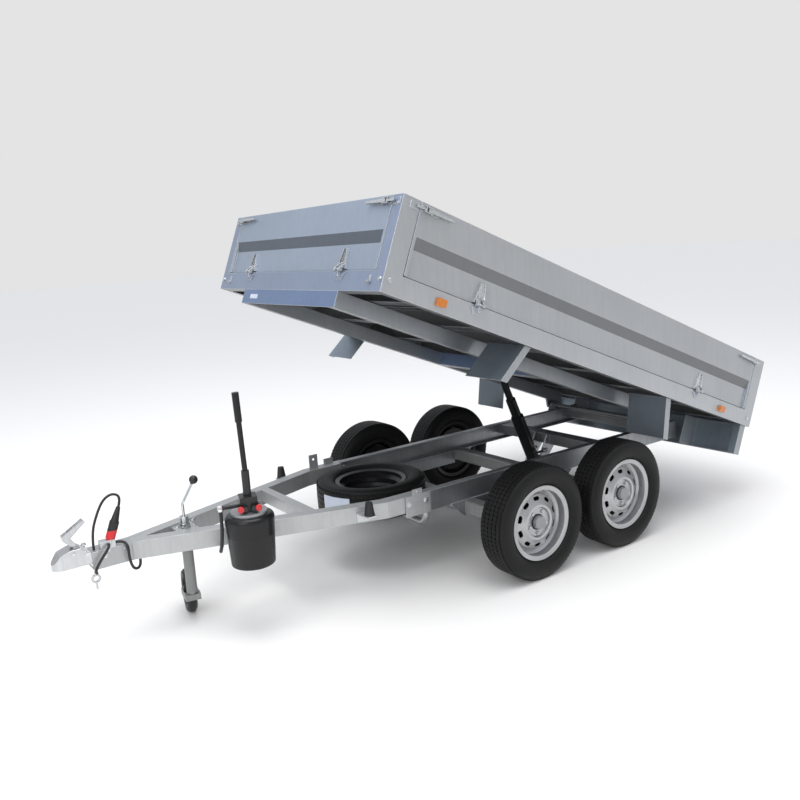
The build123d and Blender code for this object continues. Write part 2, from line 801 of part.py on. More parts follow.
def axle(axle_y):
    """A rubber-sprung axle: the beam, its trailing arms and the stubs in the hubs."""
    y = axle_y - axle_arm_reach
    arm_x = wheel_centre_x + disc_face - hub_length - axle_end_gap
    half = arm_x - axle_arm_thickness
    t = axle_tube / 2
    beam = block(-half, half, y - t, y + t, axle_tube_z - t, axle_tube_z + t)
    w = t - axle_tube_wall
    beam -= block(-half - 1, half + 1, y - w, y + w, axle_tube_z - w, axle_tube_z + w)
    long_edges = beam.edges().filter_by(Axis.X).group_by(SortBy.LENGTH)[-1]
    outer_edges = [e for e in long_edges if abs(abs(e.center().Y - y) - t) < 1]
    shape = chamfer(outer_edges, axle_chamfer)
    for side in (-1, 1):
        x0 = side * half
        x1 = side * arm_x
        shape += rod((side * (half - 60), y, axle_tube_z), (x1, y, axle_tube_z), axle_arm_radius - 8)
        shape += rod((x0, y, axle_tube_z), (x1, y, axle_tube_z), axle_arm_radius)
        shape += rod((x0, axle_y, axle_z), (x1, axle_y, axle_z), axle_arm_radius - 4)
        r = axle_arm_radius - 4
        shape += side_outline([(y, axle_tube_z + r), (axle_y, axle_z + r), (axle_y, axle_z - r),
                               (y, axle_tube_z - r)], min(x0, x1), max(x0, x1))
        stub_end = wheel_centre_x + disc_face - 36
        shape += rod((x1 - side, axle_y, axle_z), (side * stub_end, axle_y, axle_z), stub_radius)
    return shape


def spare_wheel(piece):
    """Lays a wheel piece flat at the spare's place, outer face down."""
    return Pos(0, spare_y, spare_top_z - tyre_width / 2) * Rot(0, 90, 0) * piece


def spare_carrier():
    """The bent tube under the spare, hung from the rails."""
    x = carrier_x
    y = carrier_y
    z = spare_top_z - tyre_width - seat_gap - carrier_radius
    hang = rail_bottom_z - seat_gap
    return bent_rod([(-x, y, hang), (-x, y, z), (x, y, z), (x, y, hang)], carrier_radius, carrier_bend)


def cross_tube(y, width, height):
    """A rectangular tube from rail to rail."""
    x = rail_outer_x - rail_wall
    top = rail_top_z - rail_wall
    t = cross_member_wall
    tube = block(-x, x, y - width / 2, y + width / 2, top - height, top)
    tube -= block(-x - 1, x + 1, y - width / 2 + t, y + width / 2 - t, top - height + t, top - t)
    return tube


def ram_member():
    """The tie that carries the ram's foot: a tube, two lugs and the foot's pin."""
    member = cross_tube(ram_member_y, cross_member_width, cross_member_height)
    x0 = ram_foot_width / 2 + ram_lug_gap
    front = ram_member_y - cross_member_width / 2
    top = rail_top_z - rail_wall
    lug_r = ram_eye_radius + 6
    for side in (-1, 1):
        lug = side_outline([(front, top), (front + 50, top - cross_member_height),
                            (ram_foot_y + lug_r, ram_foot_z), (ram_foot_y, ram_foot_z - lug_r),
                            (ram_foot_y - lug_r, ram_foot_z), (front - 18, top)],
                           min(side * x0, side * (x0 + ram_lug_thickness)),
                           max(side * x0, side * (x0 + ram_lug_thickness)))
        member += lug
    reach = x0 + ram_lug_thickness + 8
    member += rod((-reach, ram_foot_y, ram_foot_z), (reach, ram_foot_y, ram_foot_z), ram_pin_radius)
    hose_x, hose_y, hose_z = hose_points[-1]
    member += rod((hose_x, hose_y + seat_gap, hose_z), (hose_x, hose_y + 34, hose_z), hose_fitting_radius)
    member += block(x0 + 1, hose_x, hose_y + 16, hose_y + 34, hose_z - 9, hose_z + 9)
    return member


def pivot_beam():
    """The rear tie, the two lugs on the rails and the shaft on which the bed tips."""
    member = cross_tube(rear_member_y, cross_member_width, cross_member_height)
    pieces = [member]
    x1 = subframe_outer_x - subframe_width - pivot_lug_gap
    x0 = x1 - pivot_lug_thickness
    foot = pivot_lug_foot / 2
    head = pivot_lug_head / 2
    top = pivot_z + pivot_lug_rise
    lug = side_outline([(pivot_y - foot, rail_top_z), (pivot_y + foot, rail_top_z),
                        (pivot_y + head, top), (pivot_y - head, top)], x0, x1)
    shaft = rod((-pivot_half_length, pivot_y, pivot_z), (pivot_half_length, pivot_y, pivot_z), pivot_radius)
    carrier = shaft
    for piece in both_sides(lug):
        carrier += piece
    pieces.append(carrier)
    return Compound(children=pieces)


def bed_stops():
    """Rubber-topped stops outside the beams, under the bed's subframe when it is down."""
    pieces = []
    top = bed_flat_z - subframe_depth - stop_gap
    x = subframe_outer_x - subframe_width / 2
    y0 = stop_y - stop_radius
    y1 = stop_y + stop_radius
    z0 = top - stop_height
    foot = plan([(beam_outer_x(y0) + seat_gap, y0), (x + stop_radius, y0), (x + stop_radius, y1),
                 (beam_outer_x(y1) + seat_gap, y1)], z0 - stop_bracket, z0)
    wall = plan([(beam_outer_x(y0) + seat_gap, y0), (beam_outer_x(y0) + seat_gap + stop_bracket, y0),
                 (beam_outer_x(y1) + seat_gap + stop_bracket, y1), (beam_outer_x(y1) + seat_gap, y1)],
                beam_bottom_z + 6, z0)
    rubber = Pos(x, stop_y, z0) * Cone(stop_radius, stop_head_radius, stop_height,
                                      align=(Align.CENTER, Align.CENTER, Align.MIN))
    for piece in both_sides(foot + wall + rubber):
        pieces.append(piece)
    return Compound(children=pieces)


def bed_y(s):
    """A station s from the bed's rear edge, in the bed's own axes."""
    return -s


def bed_frame():
    """The edge rails, corner posts and hinge lugs of the bed."""
    f = bed_rail_flange
    w = bed_rail_wall
    high = bed_rail_height
    frame = block(-half_bed, half_bed, bed_y(0), bed_y(bed_length), 0, high)
    frame -= block(-half_bed + f, half_bed - f, bed_y(f), bed_y(bed_length - f), -1, high + 1)
    frame -= block(-half_bed + w, half_bed - w, bed_y(w), bed_y(bed_length - w), w, high - w)
    top = board_top
    for sx in (-1, 1):
        for s, grow in ((0, 1), (bed_length, -1)):
            x_out = sx * half_bed
            x_in = sx * (half_bed - post_end)
            s_in = s + grow * post_side
            post = block(min(x_in, x_out), max(x_in, x_out), bed_y(s), bed_y(s_in), high, top)
            cut_x = sx * (half_bed - post_wall)
            cut_s = s + grow * post_wall
            past_x = sx * (half_bed - post_end - 1)
            post -= block(min(cut_x, past_x), max(cut_x, past_x), bed_y(cut_s), bed_y(s_in + grow),
                          high, top + 1)
            frame += post
    for place in hinge_places():
        frame += place * hinge_lug()
    for row in board_sets():
        length, place = row[1], row[3]
        for direction in (-1, 1):
            frame += place * Pos(0, direction * length / 2, 0) * latch_catch(direction)
    return bed_place * frame


def hinge_places():
    """Board hinges in the bed's axes: local +X points out of the board, +Z up, origin at the seam."""
    places = []
    for s in side_hinge_s:
        places.append(Pos(half_bed, bed_y(s), seam_h))
        places.append(Pos(-half_bed, bed_y(s), seam_h) * Rot(0, 0, 180))
    for x in (-end_hinge_x, end_hinge_x):
        places.append(Pos(x, bed_y(bed_length), seam_h) * Rot(0, 0, -90))
        places.append(Pos(x, bed_y(0), seam_h) * Rot(0, 0, 90))
    return places


def hinge_lug():
    """The winged lug on the bed's rail with the hinge pin."""
    half = hinge_finger_gap / 2 - 1
    wings = side_outline([(-hinge_wing, -10), (hinge_wing, -10), (hinge_wing_foot, -40),
                          (-hinge_wing_foot, -40)], 0, hinge_strap_thickness)
    wings += block(0, pin_offset, -half, half, -30, 2)
    wings += rod((pin_offset, -half, 0), (pin_offset, half, 0), hinge_radius)
    reach = hinge_finger_gap / 2 + hinge_finger
    return wings + rod((pin_offset, -reach, 0), (pin_offset, reach, 0), hinge_pin_radius)


def hinge_strap():
    """The strap on a board: two knuckles on the pin, a tapering leaf and the two ribs pressed in it."""
    back = -board_recess
    face = back + hinge_strap_thickness
    foot = board_bottom - seam_h + 3
    top = hinge_strap_height
    wide = hinge_strap_foot
    slim = hinge_strap_head
    strap = side_outline([(-wide, foot), (wide, foot), (slim, top), (-slim, top)], back, face)
    for side in (-1, 1):
        rib = side_outline([(side * wide, foot), (side * (wide - hinge_rib_width), foot),
                            (side * (slim - hinge_rib_width), top), (side * slim, top)],
                           back, face + hinge_rib_height)
        lo = min(side * hinge_finger_gap / 2, side * (hinge_finger_gap / 2 + hinge_finger))
        finger = rod((pin_offset, lo, 0), (pin_offset, lo + hinge_finger, 0), hinge_radius)
        plane = Plane(origin=(0, lo, 0), x_dir=(1, 0, 0), z_dir=(0, -1, 0))
        bend = Polyline((pin_offset + hinge_radius - 1, 0), (pin_offset + hinge_radius - 3, 12),
                        (face, hinge_bend_height), (back, hinge_bend_height), (back, foot),
                        (pin_offset - hinge_radius + 1, foot), close=True)
        finger += extrude(plane * make_face(bend), -hinge_finger)
        finger -= rod((pin_offset, lo - 1, 0), (pin_offset, lo + hinge_finger + 1, 0),
                      hinge_pin_radius + pin_gap)
        strap += rib + finger
    return strap


def board(length, rib_ends):
    """A board: local +X out, origin at the bed's outer face over the seam, length along Y."""
    low = board_bottom - seam_h
    top = board_top - seam_h
    half = length / 2
    step0 = board_step_low - seam_h
    step1 = board_step_high - seam_h
    slab = block(-board_thickness, 0, -half, half, low, top)
    profile = make_face(Polyline((-board_recess, low - 1), (1, low - 1), (1, step1), (0, step1),
                                 (-board_recess, step0), close=True))
    cut = extrude(Plane(origin=(0, half - rib_ends, 0), x_dir=(1, 0, 0), z_dir=(0, -1, 0)) * profile,
                  length - 2 * rib_ends)
    return slab - cut


def latch(direction):
    """An over-centre latch: plate, two cheeks, a tapering hand lever and a hook over the post's catch."""
    t = latch_thickness
    h = latch_height - seam_h
    w = latch_width / 2
    cheek = w - 4
    inner = t + latch_stand - latch_bar_depth / 2
    outer = t + latch_stand + latch_bar_depth / 2
    latch_body = block(0, t, 0, -direction * latch_plate, h - w, h + w)
    for side in (-1, 1):
        latch_body += block(t - 1, outer, -direction * 10, -direction * 52, h + side * w,
                            h + side * cheek)
    lever = side_outline([(-direction * 30, h - cheek + 1), (-direction * 30, h + cheek - 1),
                          (-direction * latch_length, h + latch_bar / 2),
                          (-direction * latch_length, h - latch_bar / 2)], inner, outer)
    latch_body += lever + block(t - 1, inner + 1, -direction * 30, -direction * 44, h - cheek, h + cheek)
    latch_body += rod((inner + 2, -direction * 22, h - w), (inner + 2, -direction * 22, h + w), 4)
    hook = block(inner, inner + 5, -direction * 24, direction * latch_reach, h - latch_bar / 2,
                 h + latch_bar / 2)
    return latch_body + hook


def latch_catch(direction):
    """The catch on a corner post, under the latch's hook."""
    h = latch_height - seam_h
    w = latch_width / 2
    return block(0, latch_catch_thickness, direction * (board_gap + 6), direction * (post_end - 8),
                 h - w, h + w)


def board_sets():
    """Rows of: name, length between posts, end zone, place, latch stations along the board, hinges."""
    side_length = bed_length - 2 * post_side - 2 * board_gap
    end_length = bed_width - 2 * post_end - 2 * board_gap
    middle = bed_length / 2
    rows = [
        ("left", side_length, board_end_zone, Pos(half_bed, bed_y(middle), seam_h),
         [middle - s for s in side_hinge_s]),
        ("right", side_length, board_end_zone, Pos(-half_bed, bed_y(middle), seam_h) * Rot(0, 0, 180),
         [s - middle for s in side_hinge_s]),
        ("front", end_length, board_end_zone, Pos(0, bed_y(bed_length), seam_h) * Rot(0, 0, -90),
         [-end_hinge_x, end_hinge_x]),
        ("tail", end_length, board_end_zone, Pos(0, bed_y(0), seam_h) * Rot(0, 0, 90),
         [-end_hinge_x, end_hinge_x]),
    ]
    return rows


def board_fittings(length, hinges):
    """The hinge straps and the two latches of one board."""
    pieces = []
    for y in hinges:
        pieces.append(Pos(0, y, 0) * hinge_strap())
    for direction in (-1, 1):
        edge = Pos(0, direction * (length / 2), 0)
        pieces.append(edge * latch(direction))
    return Compound(children=pieces)


def subframe():
    """Two tubes under the bed, their front plate, the pivot lugs and the ram's upper lugs."""
    x1 = subframe_outer_x
    x0 = x1 - subframe_width
    d = -subframe_depth
    t = subframe_wall
    shape = block(-x1, x1, bed_y(bed_length - t), bed_y(bed_length), d, -seat_gap)
    for side in (-1, 1):
        lo = min(side * x0, side * x1)
        hi = max(side * x0, side * x1)
        tube = block(lo, hi, bed_y(subframe_rear_s), bed_y(bed_length - t), d, -seat_gap)
        tube -= block(lo + t, hi - t, bed_y(subframe_rear_s - 1), bed_y(bed_length - t), d + t, -seat_gap - t)
        lug_x = side * (x0 + pivot_lug_inset)
        lug_end = side * (x0 + pivot_lug_inset + pivot_lug_thickness)
        foot = pivot_lug_foot / 2
        head = pivot_lug_head / 2
        low = pivot_h - pivot_lug_rise
        lug = side_outline([(bed_y(pivot_s) - foot, d), (bed_y(pivot_s) + foot, d),
                            (bed_y(pivot_s) + head, low), (bed_y(pivot_s) - head, low)],
                           min(lug_x, lug_end), max(lug_x, lug_end))
        lug -= rod((0, bed_y(pivot_s), pivot_h), (2 * side * x1, bed_y(pivot_s), pivot_h),
                   pivot_radius + pivot_gap)
        shape += tube + lug
    eye_s, eye_h = eye_in_bed()
    lug_x = ram_eye_width / 2 + ram_lug_gap
    cross_s = eye_s + 2.6 * ram_eye_radius
    shape += block(-x0, x0, bed_y(cross_s), bed_y(cross_s + 60), d, -seat_gap)
    for side in (-1, 1):
        a = side * lug_x
        b = side * (lug_x + ram_lug_thickness)
        r = ram_eye_radius + 8
        lug = side_outline([(bed_y(cross_s + 20), -seat_gap), (bed_y(cross_s + 20), d),
                            (bed_y(eye_s) - r, eye_h - r),
                            (bed_y(eye_s) + r, eye_h - r), (bed_y(eye_s) + r, eye_h + r / 2),
                            (bed_y(eye_s) - r, -seat_gap)], min(a, b), max(a, b))
        boss = rod((b, bed_y(eye_s), eye_h), (b + side * 8, bed_y(eye_s), eye_h), ram_pin_radius + 4)
        shape += lug + boss
    return bed_place * shape


def eye_in_bed():
    """The ram's eye as a station s and height h in the bed's axes at rest."""
    y = ram_eye_y - pivot_y
    z = ram_eye_z - pivot_z
    a = radians(bed_tilt)
    forward = -y * cos(a) + z * sin(a)
    up = y * sin(a) + z * cos(a)
    return pivot_s + forward, pivot_h + up


def bed_ribs():
    """Channel ribs under the floor from edge rail to edge rail."""
    x = half_bed - bed_rail_wall
    top = bed_rail_height - bed_rail_wall
    low = bed_rail_wall
    pieces = []
    for k in range(rib_count):
        s = rib_first_s + k * rib_pitch
        rib = block(-x, x, bed_y(s), bed_y(s + rib_width), low, top)
        rib -= block(-x - 1, x + 1, bed_y(s + rib_wall), bed_y(s + rib_width + 1),
                     low + rib_wall, top - rib_wall)
        pieces.append(rib)
    return bed_place * Compound(children=pieces)


def bed_floor():
    """The floor sheet on the edge rails, inside the boards."""
    inset = board_thickness + board_gap
    h = bed_rail_height
    return bed_place * block(-half_bed + inset, half_bed - inset, bed_y(inset), bed_y(bed_length - inset),
                             h, h + floor_thickness)


def mud_flaps():
    """Four hanging plates ahead of and behind the tyres, each with a turned outer edge."""
    pieces = []
    rows = [
        (front_axle_s + flap_front_top, front_axle_s + flap_front_low, flap_depth_front),
        (rear_axle_s - flap_rear_top, rear_axle_s - flap_rear_low, flap_depth_rear),
    ]
    for s_top, s_low, depth in rows:
        t = flap_thickness
        plate = side_outline([(bed_y(s_top), -seat_gap), (bed_y(s_top) + t, -seat_gap),
                              (bed_y(s_low) + t, -depth), (bed_y(s_low), -depth)],
                             flap_inner_x, flap_outer_x)
        flange = side_outline([(bed_y(s_top), -seat_gap), (bed_y(s_top) + flap_flange, -seat_gap),
                               (bed_y(s_low) + flap_flange, -depth), (bed_y(s_low), -depth)],
                              flap_outer_x - t, flap_outer_x)
        foot = block(flap_inner_x, flap_outer_x, bed_y(s_top), bed_y(s_top) + flap_flange,
                     -seat_gap - t, -seat_gap)
        for piece in both_sides(plate + flange + foot):
            pieces.append(piece)
    return bed_place * Compound(children=pieces)


def light_board():
    """The cross panel under the tail: a channel open to the front, with turned end posts."""
    x = light_board_half
    s0 = light_board_s
    s1 = s0 + light_board_lip
    t = light_board_wall
    top = -seat_gap
    panel = block(-x, x, bed_y(s0), bed_y(s1), -light_board_depth, top)
    panel -= block(-x + t, x - t, bed_y(s0 + t), bed_y(s1 + 1), -light_board_depth + t, top - t)
    for side in (-1, 1):
        panel += block(side * x, side * (x - light_board_post), bed_y(s1 - t), bed_y(s1),
                       -light_board_depth, top)
        panel += block(side * stay_x, side * (stay_x + t), bed_y(s0 + 1), bed_y(s1 + stay_reach),
                       -light_board_depth + 1, top)
    return bed_place * panel


def rear_lamps():
    """Two lamp clusters on the light board's rear face."""
    pieces = []
    back = light_board_s - seat_gap
    for side in (-1, 1):
        x = side * lamp_centre_x
        pieces.append(block(x - lamp_width / 2, x + lamp_width / 2, bed_y(back), bed_y(back - lamp_depth),
                            lamp_h - lamp_height / 2, lamp_h + lamp_height / 2))
    return bed_place * Compound(children=pieces)


def marker_lamps():
    """Amber side markers on the edge rails."""
    pieces = []
    for s in marker_s:
        lamp = block(half_bed + seat_gap, half_bed + marker_depth, bed_y(s - marker_length / 2),
                     bed_y(s + marker_length / 2), marker_h - marker_height / 2, marker_h + marker_height / 2)
        for piece in both_sides(lamp):
            pieces.append(piece)
    return bed_place * Compound(children=pieces)


def ram_frame():
    """The ram's axis from its foot to its eye, as local +Z."""
    along = Vector(0, ram_eye_y - ram_foot_y, ram_eye_z - ram_foot_z)
    return Plane(origin=(0, ram_foot_y, ram_foot_z), x_dir=(1, 0, 0), z_dir=along)


def ram_barrel():
    """The outer barrel with its foot eye and the oil port."""
    barrel = rod((0, 0, ram_eye_radius - 6), (0, 0, ram_barrel_end), ram_radius)
    w = ram_foot_width / 2
    barrel += rod((-w, 0, 0), (w, 0, 0), ram_eye_radius)
    barrel -= rod((0, 0, ram_bore_start), (0, 0, ram_barrel_end + 1), stage_radius + ram_gap)
    barrel -= rod((-w - 1, 0, 0), (w + 1, 0, 0), ram_pin_radius + running_gap)
    barrel += rod((0, ram_radius - 4, 78), (0, ram_radius + 16, 78), 9)
    return ram_frame() * barrel


def ram_stage():
    """The middle stage, an open sleeve."""
    stage = rod((0, 0, stage_start), (0, 0, stage_end), stage_radius)
    stage -= rod((0, 0, stage_start - 1), (0, 0, stage_end + 1), rod_radius + ram_gap)
    return ram_frame() * stage


def ram_rod():
    """The rod and its eye."""
    length = hypot(ram_eye_y - ram_foot_y, ram_eye_z - ram_foot_z)
    bar = rod((0, 0, rod_start), (0, 0, length), rod_radius)
    w = ram_eye_width / 2
    return ram_frame() * (bar + rod((-w, 0, length), (w, 0, length), ram_eye_radius))


def on_nose(points):
    """Points of a cord that starts at the drawbar's nose, in axle stations."""
    return [(x, nose_front_y + y, z) for x, y, z in points]


def plug_lead():
    """The lead and the two tails, three cords in one node."""
    pieces = [
        cord("lead", on_nose(lead_points), lead_radius),
        cord("tail", on_nose(tail_points), tail_radius),
        cord("loop", on_nose(loop_points), tail_radius),
    ]
    return Compound(children=pieces)


def lead_plug():
    """The plug parked in its holder on the drawbar's nose, with its boot up along the lead."""
    points = on_nose(lead_points)
    top = Vector(*points[-1])
    along = (top - Vector(*points[-2])).normalized()
    axis = Plane(origin=top + along * seat_gap, z_dir=along)
    up = (Align.CENTER, Align.CENTER, Align.MIN)
    plug = axis * Cone(lead_radius + 3, plug_radius - 3, plug_boot_length, align=up)
    plug += axis * Pos(0, 0, plug_boot_length) * Cylinder(plug_radius, plug_length, align=up)
    plug += axis * Pos(0, 0, plug_boot_length + plug_length) * Cylinder(
        plug_foot_radius, plug_foot_length, align=up)
    holder = block(holder_inner_x, holder_outer_x, holder_front_y, holder_rear_y,
                   rail_top_z + seat_gap, holder_top_z)
    return plug + holder


def parts():
    """Every node of the trailer by name, in axle stations."""
    nodes = {}
    beam = drawbar_beam()
    rail = main_rail()
    nodes["drawbar_beam_left"], nodes["drawbar_beam_right"] = both_sides(beam)
    nodes["main_rail_left"], nodes["main_rail_right"] = both_sides(rail)
    nodes["drawbar_cross_member"] = drawbar_cross_member()
    nodes["joint_sleeves"] = joint_sleeves()
    nodes["drawbar_nose"] = drawbar_nose()
    nodes["coupling_body"] = coupling_body()
    nodes["coupling_lever"] = coupling_lever()
    nodes["safety_hook"] = safety_hook()
    nodes["lead_plug"] = lead_plug()
    nodes["plug_lead"] = plug_lead()
    nodes["jockey_clamp"] = jockey_clamp()
    nodes["jockey_post"] = jockey_post()
    nodes["jockey_fork"] = jockey_fork()
    nodes["jockey_wheel"] = jockey_wheel()
    nodes["pump_tank"] = pump_tank()
    nodes["pump_head"] = pump_head()
    nodes["pump_handle"] = pump_handle()
    nodes["hydraulic_hose"] = cord("hydraulic_hose", hose_points, hose_radius)
    rim = wheel_rim()
    tyre = wheel_tyre()
    for row, axle_y in (("front", 0.0), ("rear", axle_spacing)):
        nodes[row + "_axle"] = axle(axle_y)
        for name, side in (("left", 1), ("right", -1)):
            place = wheel_place(side, axle_y)
            nodes[f"{row}_{name}_tyre"] = place * tyre
            nodes[f"{row}_{name}_rim"] = place * rim
    nodes["spare_tyre"] = spare_wheel(tyre)
    nodes["spare_rim"] = spare_wheel(wheel_rim(with_hub=False))
    nodes["spare_carrier"] = spare_carrier()
    nodes["ram_member"] = ram_member()
    nodes["pivot_beam"] = pivot_beam()
    nodes["bed_stops"] = bed_stops()
    nodes["bed_frame"] = bed_frame()
    nodes["bed_floor"] = bed_floor()
    nodes["bed_ribs"] = bed_ribs()
    nodes["subframe"] = subframe()
    nodes["mud_flaps"] = mud_flaps()
    nodes["light_board"] = light_board()
    nodes["rear_lamps"] = rear_lamps()
    nodes["marker_lamps"] = marker_lamps()
    for name, length, ends, place, hinges in board_sets():
        nodes[name + "_board"] = bed_place * place * board(length, ends)
        nodes[name + "_fittings"] = bed_place * place * board_fittings(length, hinges)
    nodes["ram_barrel"] = ram_barrel()
    nodes["ram_stage"] = ram_stage()
    nodes["ram_rod"] = ram_rod()
    return nodes


os.makedirs("parts", exist_ok=True)
for node, shape in parts().items():
    export_step(Pos(0, frame_shift, 0) * shape, f"parts/{node}.step")
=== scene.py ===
# %% [markdown]
# A tandem-axle tipping trailer in galvanised steel. The CAD model gives every piece at its real size
# and place. This lesson dresses it: zinc, rubber, paint and chrome finishes, tyres with a cut tread,
# bolts, lamps and the small pieces that are easier to make as meshes.

# %% Load the CAD frame
import json
from math import atan2, cos, pi, radians, sin

import bmesh
import bpy
from mathutils import Matrix, Vector


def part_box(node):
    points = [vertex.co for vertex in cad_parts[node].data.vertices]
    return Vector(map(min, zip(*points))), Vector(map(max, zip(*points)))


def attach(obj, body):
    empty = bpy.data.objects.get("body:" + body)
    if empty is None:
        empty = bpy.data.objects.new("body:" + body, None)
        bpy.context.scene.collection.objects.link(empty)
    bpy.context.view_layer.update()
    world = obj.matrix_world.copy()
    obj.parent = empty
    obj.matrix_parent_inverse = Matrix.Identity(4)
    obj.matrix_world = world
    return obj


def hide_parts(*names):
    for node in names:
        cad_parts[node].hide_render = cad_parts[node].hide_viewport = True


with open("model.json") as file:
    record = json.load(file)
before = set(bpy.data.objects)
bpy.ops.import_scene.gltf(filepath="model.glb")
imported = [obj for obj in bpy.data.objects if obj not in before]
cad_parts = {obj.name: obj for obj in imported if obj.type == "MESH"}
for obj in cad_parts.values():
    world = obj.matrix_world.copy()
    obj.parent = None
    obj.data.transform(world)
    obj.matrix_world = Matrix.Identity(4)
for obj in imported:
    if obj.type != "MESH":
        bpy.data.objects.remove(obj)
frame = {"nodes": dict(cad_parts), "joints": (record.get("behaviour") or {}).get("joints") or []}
nodes = frame["nodes"]
joints = {joint["name"]: joint for joint in frame["joints"]}
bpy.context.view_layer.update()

# %% [markdown]
# The camera stands where the photographer stood: front left, a little above the drawbar. Its turn is
# built from three angles, because a camera that also leans to one side can't simply look at a point.
# The picture's centre is a little off the lens axis, and the shift takes care of that. The camera's
# place is measured from the front axle.

# %% Camera
image_width = 800
sensor_width_mm = 36
tyre_low, tyre_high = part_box("front_left_tyre")
front_axle_y = (tyre_low.y + tyre_high.y) / 2
camera_place = Vector((3.3349, front_axle_y - 2.6262, 1.6290))
camera_turn = radians(55.739)
camera_height = radians(10.597)
camera_lean = radians(-3.767)
lens_px = 799.458
centre_shift_px = (17.098, -5.518)


def new_object(name, data):
    """An object in the scene that holds this data."""
    made = bpy.data.objects.new(name, data)
    bpy.context.scene.collection.objects.link(made)
    return made


def camera_axes(turn, height, lean):
    """The camera's right, up and back directions."""
    right = Vector((cos(turn), sin(turn), 0))
    up = Vector((-sin(turn) * sin(height), cos(turn) * sin(height), cos(height)))
    back = Vector((sin(turn) * cos(height), -cos(turn) * cos(height), sin(height)))
    return cos(lean) * right + sin(lean) * up, -sin(lean) * right + cos(lean) * up, back


camera_data = bpy.data.cameras.new("camera")
camera = new_object("camera", camera_data)
bpy.context.scene.camera = camera
camera_data.sensor_width = sensor_width_mm
camera_data.lens = sensor_width_mm * lens_px / image_width
camera_data.shift_x = centre_shift_px[0] / image_width
camera_data.shift_y = centre_shift_px[1] / image_width
axes = Matrix(camera_axes(camera_turn, camera_height, camera_lean)).transposed().to_4x4()
camera.matrix_world = Matrix.Translation(camera_place) @ axes
print("lens", round(camera_data.lens, 2), "mm")

# %% [markdown]
# Materials, the sky and Geometry Nodes are all node trees. A few short helpers add a node with its
# values, link sockets, start a group with named sockets, and do the sums and colour mixes.

# %% Helpers for node trees


def add(tree, kind, values=None, **settings):
    """A node with its settings, and its input values by socket name or number."""
    node = tree.nodes.new(kind)
    for key, value in settings.items():
        setattr(node, key, value)
    for key, value in (values or {}).items():
        node.inputs[key].default_value = value
    return node


def wire(tree, *links):
    """Links sockets: rows of (node, output, node, input), or of (output socket, node, input)."""
    for *source, node, label in links:
        start = source[0].outputs[source[1]] if len(source) == 2 else source[0]
        tree.links.new(start, node.inputs[label])


def new_group(name, inputs, outputs, kind_of_tree="ShaderNodeTree"):
    """An empty node group with named sockets: rows of (name, kind), and a default where one is given."""
    tree = bpy.data.node_groups.new(name, kind_of_tree)
    for label, kind, *default in inputs:
        socket = tree.interface.new_socket(label, in_out="INPUT", socket_type="NodeSocket" + kind)
        if default:
            socket.default_value = default[0]
    for label, kind in outputs:
        tree.interface.new_socket(label, in_out="OUTPUT", socket_type="NodeSocket" + kind)
    return tree, tree.nodes.new("NodeGroupInput"), tree.nodes.new("NodeGroupOutput")


def mix_colour(tree, factor, first, second):
    """A colour mix whose three inputs may be sockets or values."""
    node = add(tree, "ShaderNodeMix", data_type="RGBA")
    for socket, value in ((node.inputs[0], factor), (node.inputs[6], first), (node.inputs[7], second)):
        if isinstance(value, bpy.types.NodeSocket):
            tree.links.new(value, socket)
        else:
            socket.default_value = value
    return node.outputs[2]


def math(tree, operation, first, second=0.0, third=0.0, clamp=False):
    """A math node whose inputs may be sockets or numbers."""
    node = add(tree, "ShaderNodeMath", operation=operation, use_clamp=clamp)
    for socket, value in zip(node.inputs, (first, second, third)):
        if isinstance(value, bpy.types.NodeSocket):
            tree.links.new(value, socket)
        else:
            socket.default_value = value
    return node.outputs[0]


# %% [markdown]
# A zinc surface shows what surrounds it, so the studio matters as much as the metal. The sky lights the
# trailer from a bluish height down to a greyer horizon, as a bright overcast day does, and the picture's
# own background stays one plain pale tone that meets the floor. Two soft lamps draw the top edges.

# %% Studio
floor_size = 120
sky_rows = [
    # height of the direction, colour
    (0.0, (0.46, 0.46, 0.45)),
    (0.30, (0.64, 0.65, 0.66)),
    (0.62, (0.75, 0.80, 0.89)),
    (1.0, (1.05, 1.06, 1.07)),
]
background_tone = (0.775, 0.775, 0.775, 1)


def area_light(name, place, target, size, energy):
    """A square soft light that looks at a point."""
    data = bpy.data.lights.new(name, "AREA")
    data.size = size
    data.energy = energy
    lamp = new_object(name, data)
    lamp.location = place
    lamp.rotation_euler = (Vector(target) - Vector(place)).to_track_quat("-Z", "Y").to_euler()


def sky_world():
    """A sky that is brighter above, with one plain tone where the camera looks at it directly."""
    world = bpy.data.worlds.new("sky")
    world.use_nodes = True
    tree = world.node_tree
    lit = tree.nodes["Background"]
    world_output = tree.nodes["World Output"]
    plain = add(tree, "ShaderNodeBackground", {"Color": background_tone})
    place = add(tree, "ShaderNodeTexCoord")
    split = add(tree, "ShaderNodeSeparateXYZ")
    ramp = add(tree, "ShaderNodeValToRGB")
    seen = add(tree, "ShaderNodeLightPath")
    either = add(tree, "ShaderNodeMixShader")
    while len(ramp.color_ramp.elements) < len(sky_rows):
        ramp.color_ramp.elements.new(0.5)
    for stop, (height, colour) in zip(ramp.color_ramp.elements, sky_rows):
        stop.position = height
        stop.color = (*colour, 1)
    wire(tree, (place, "Generated", split, 0), (split, 2, ramp, 0), (ramp, 0, lit, "Color"),
         (seen, "Is Camera Ray", either, 0), (lit, 0, either, 1), (plain, 0, either, 2),
         (either, 0, world_output, "Surface"))
    return world


bpy.context.scene.world = sky_world()
area_light("top_light", (0.8, -0.8, 6.5), (0, 0, 0.6), 5.0, 260)
area_light("front_light", (3.4, -6.0, 3.6), (0, -0.3, 0.8), 4.0, 120)
bpy.context.scene.view_settings.view_transform = "Standard"

bpy.ops.mesh.primitive_plane_add(size=floor_size)
floor = bpy.context.object
floor.name = "studio_floor"

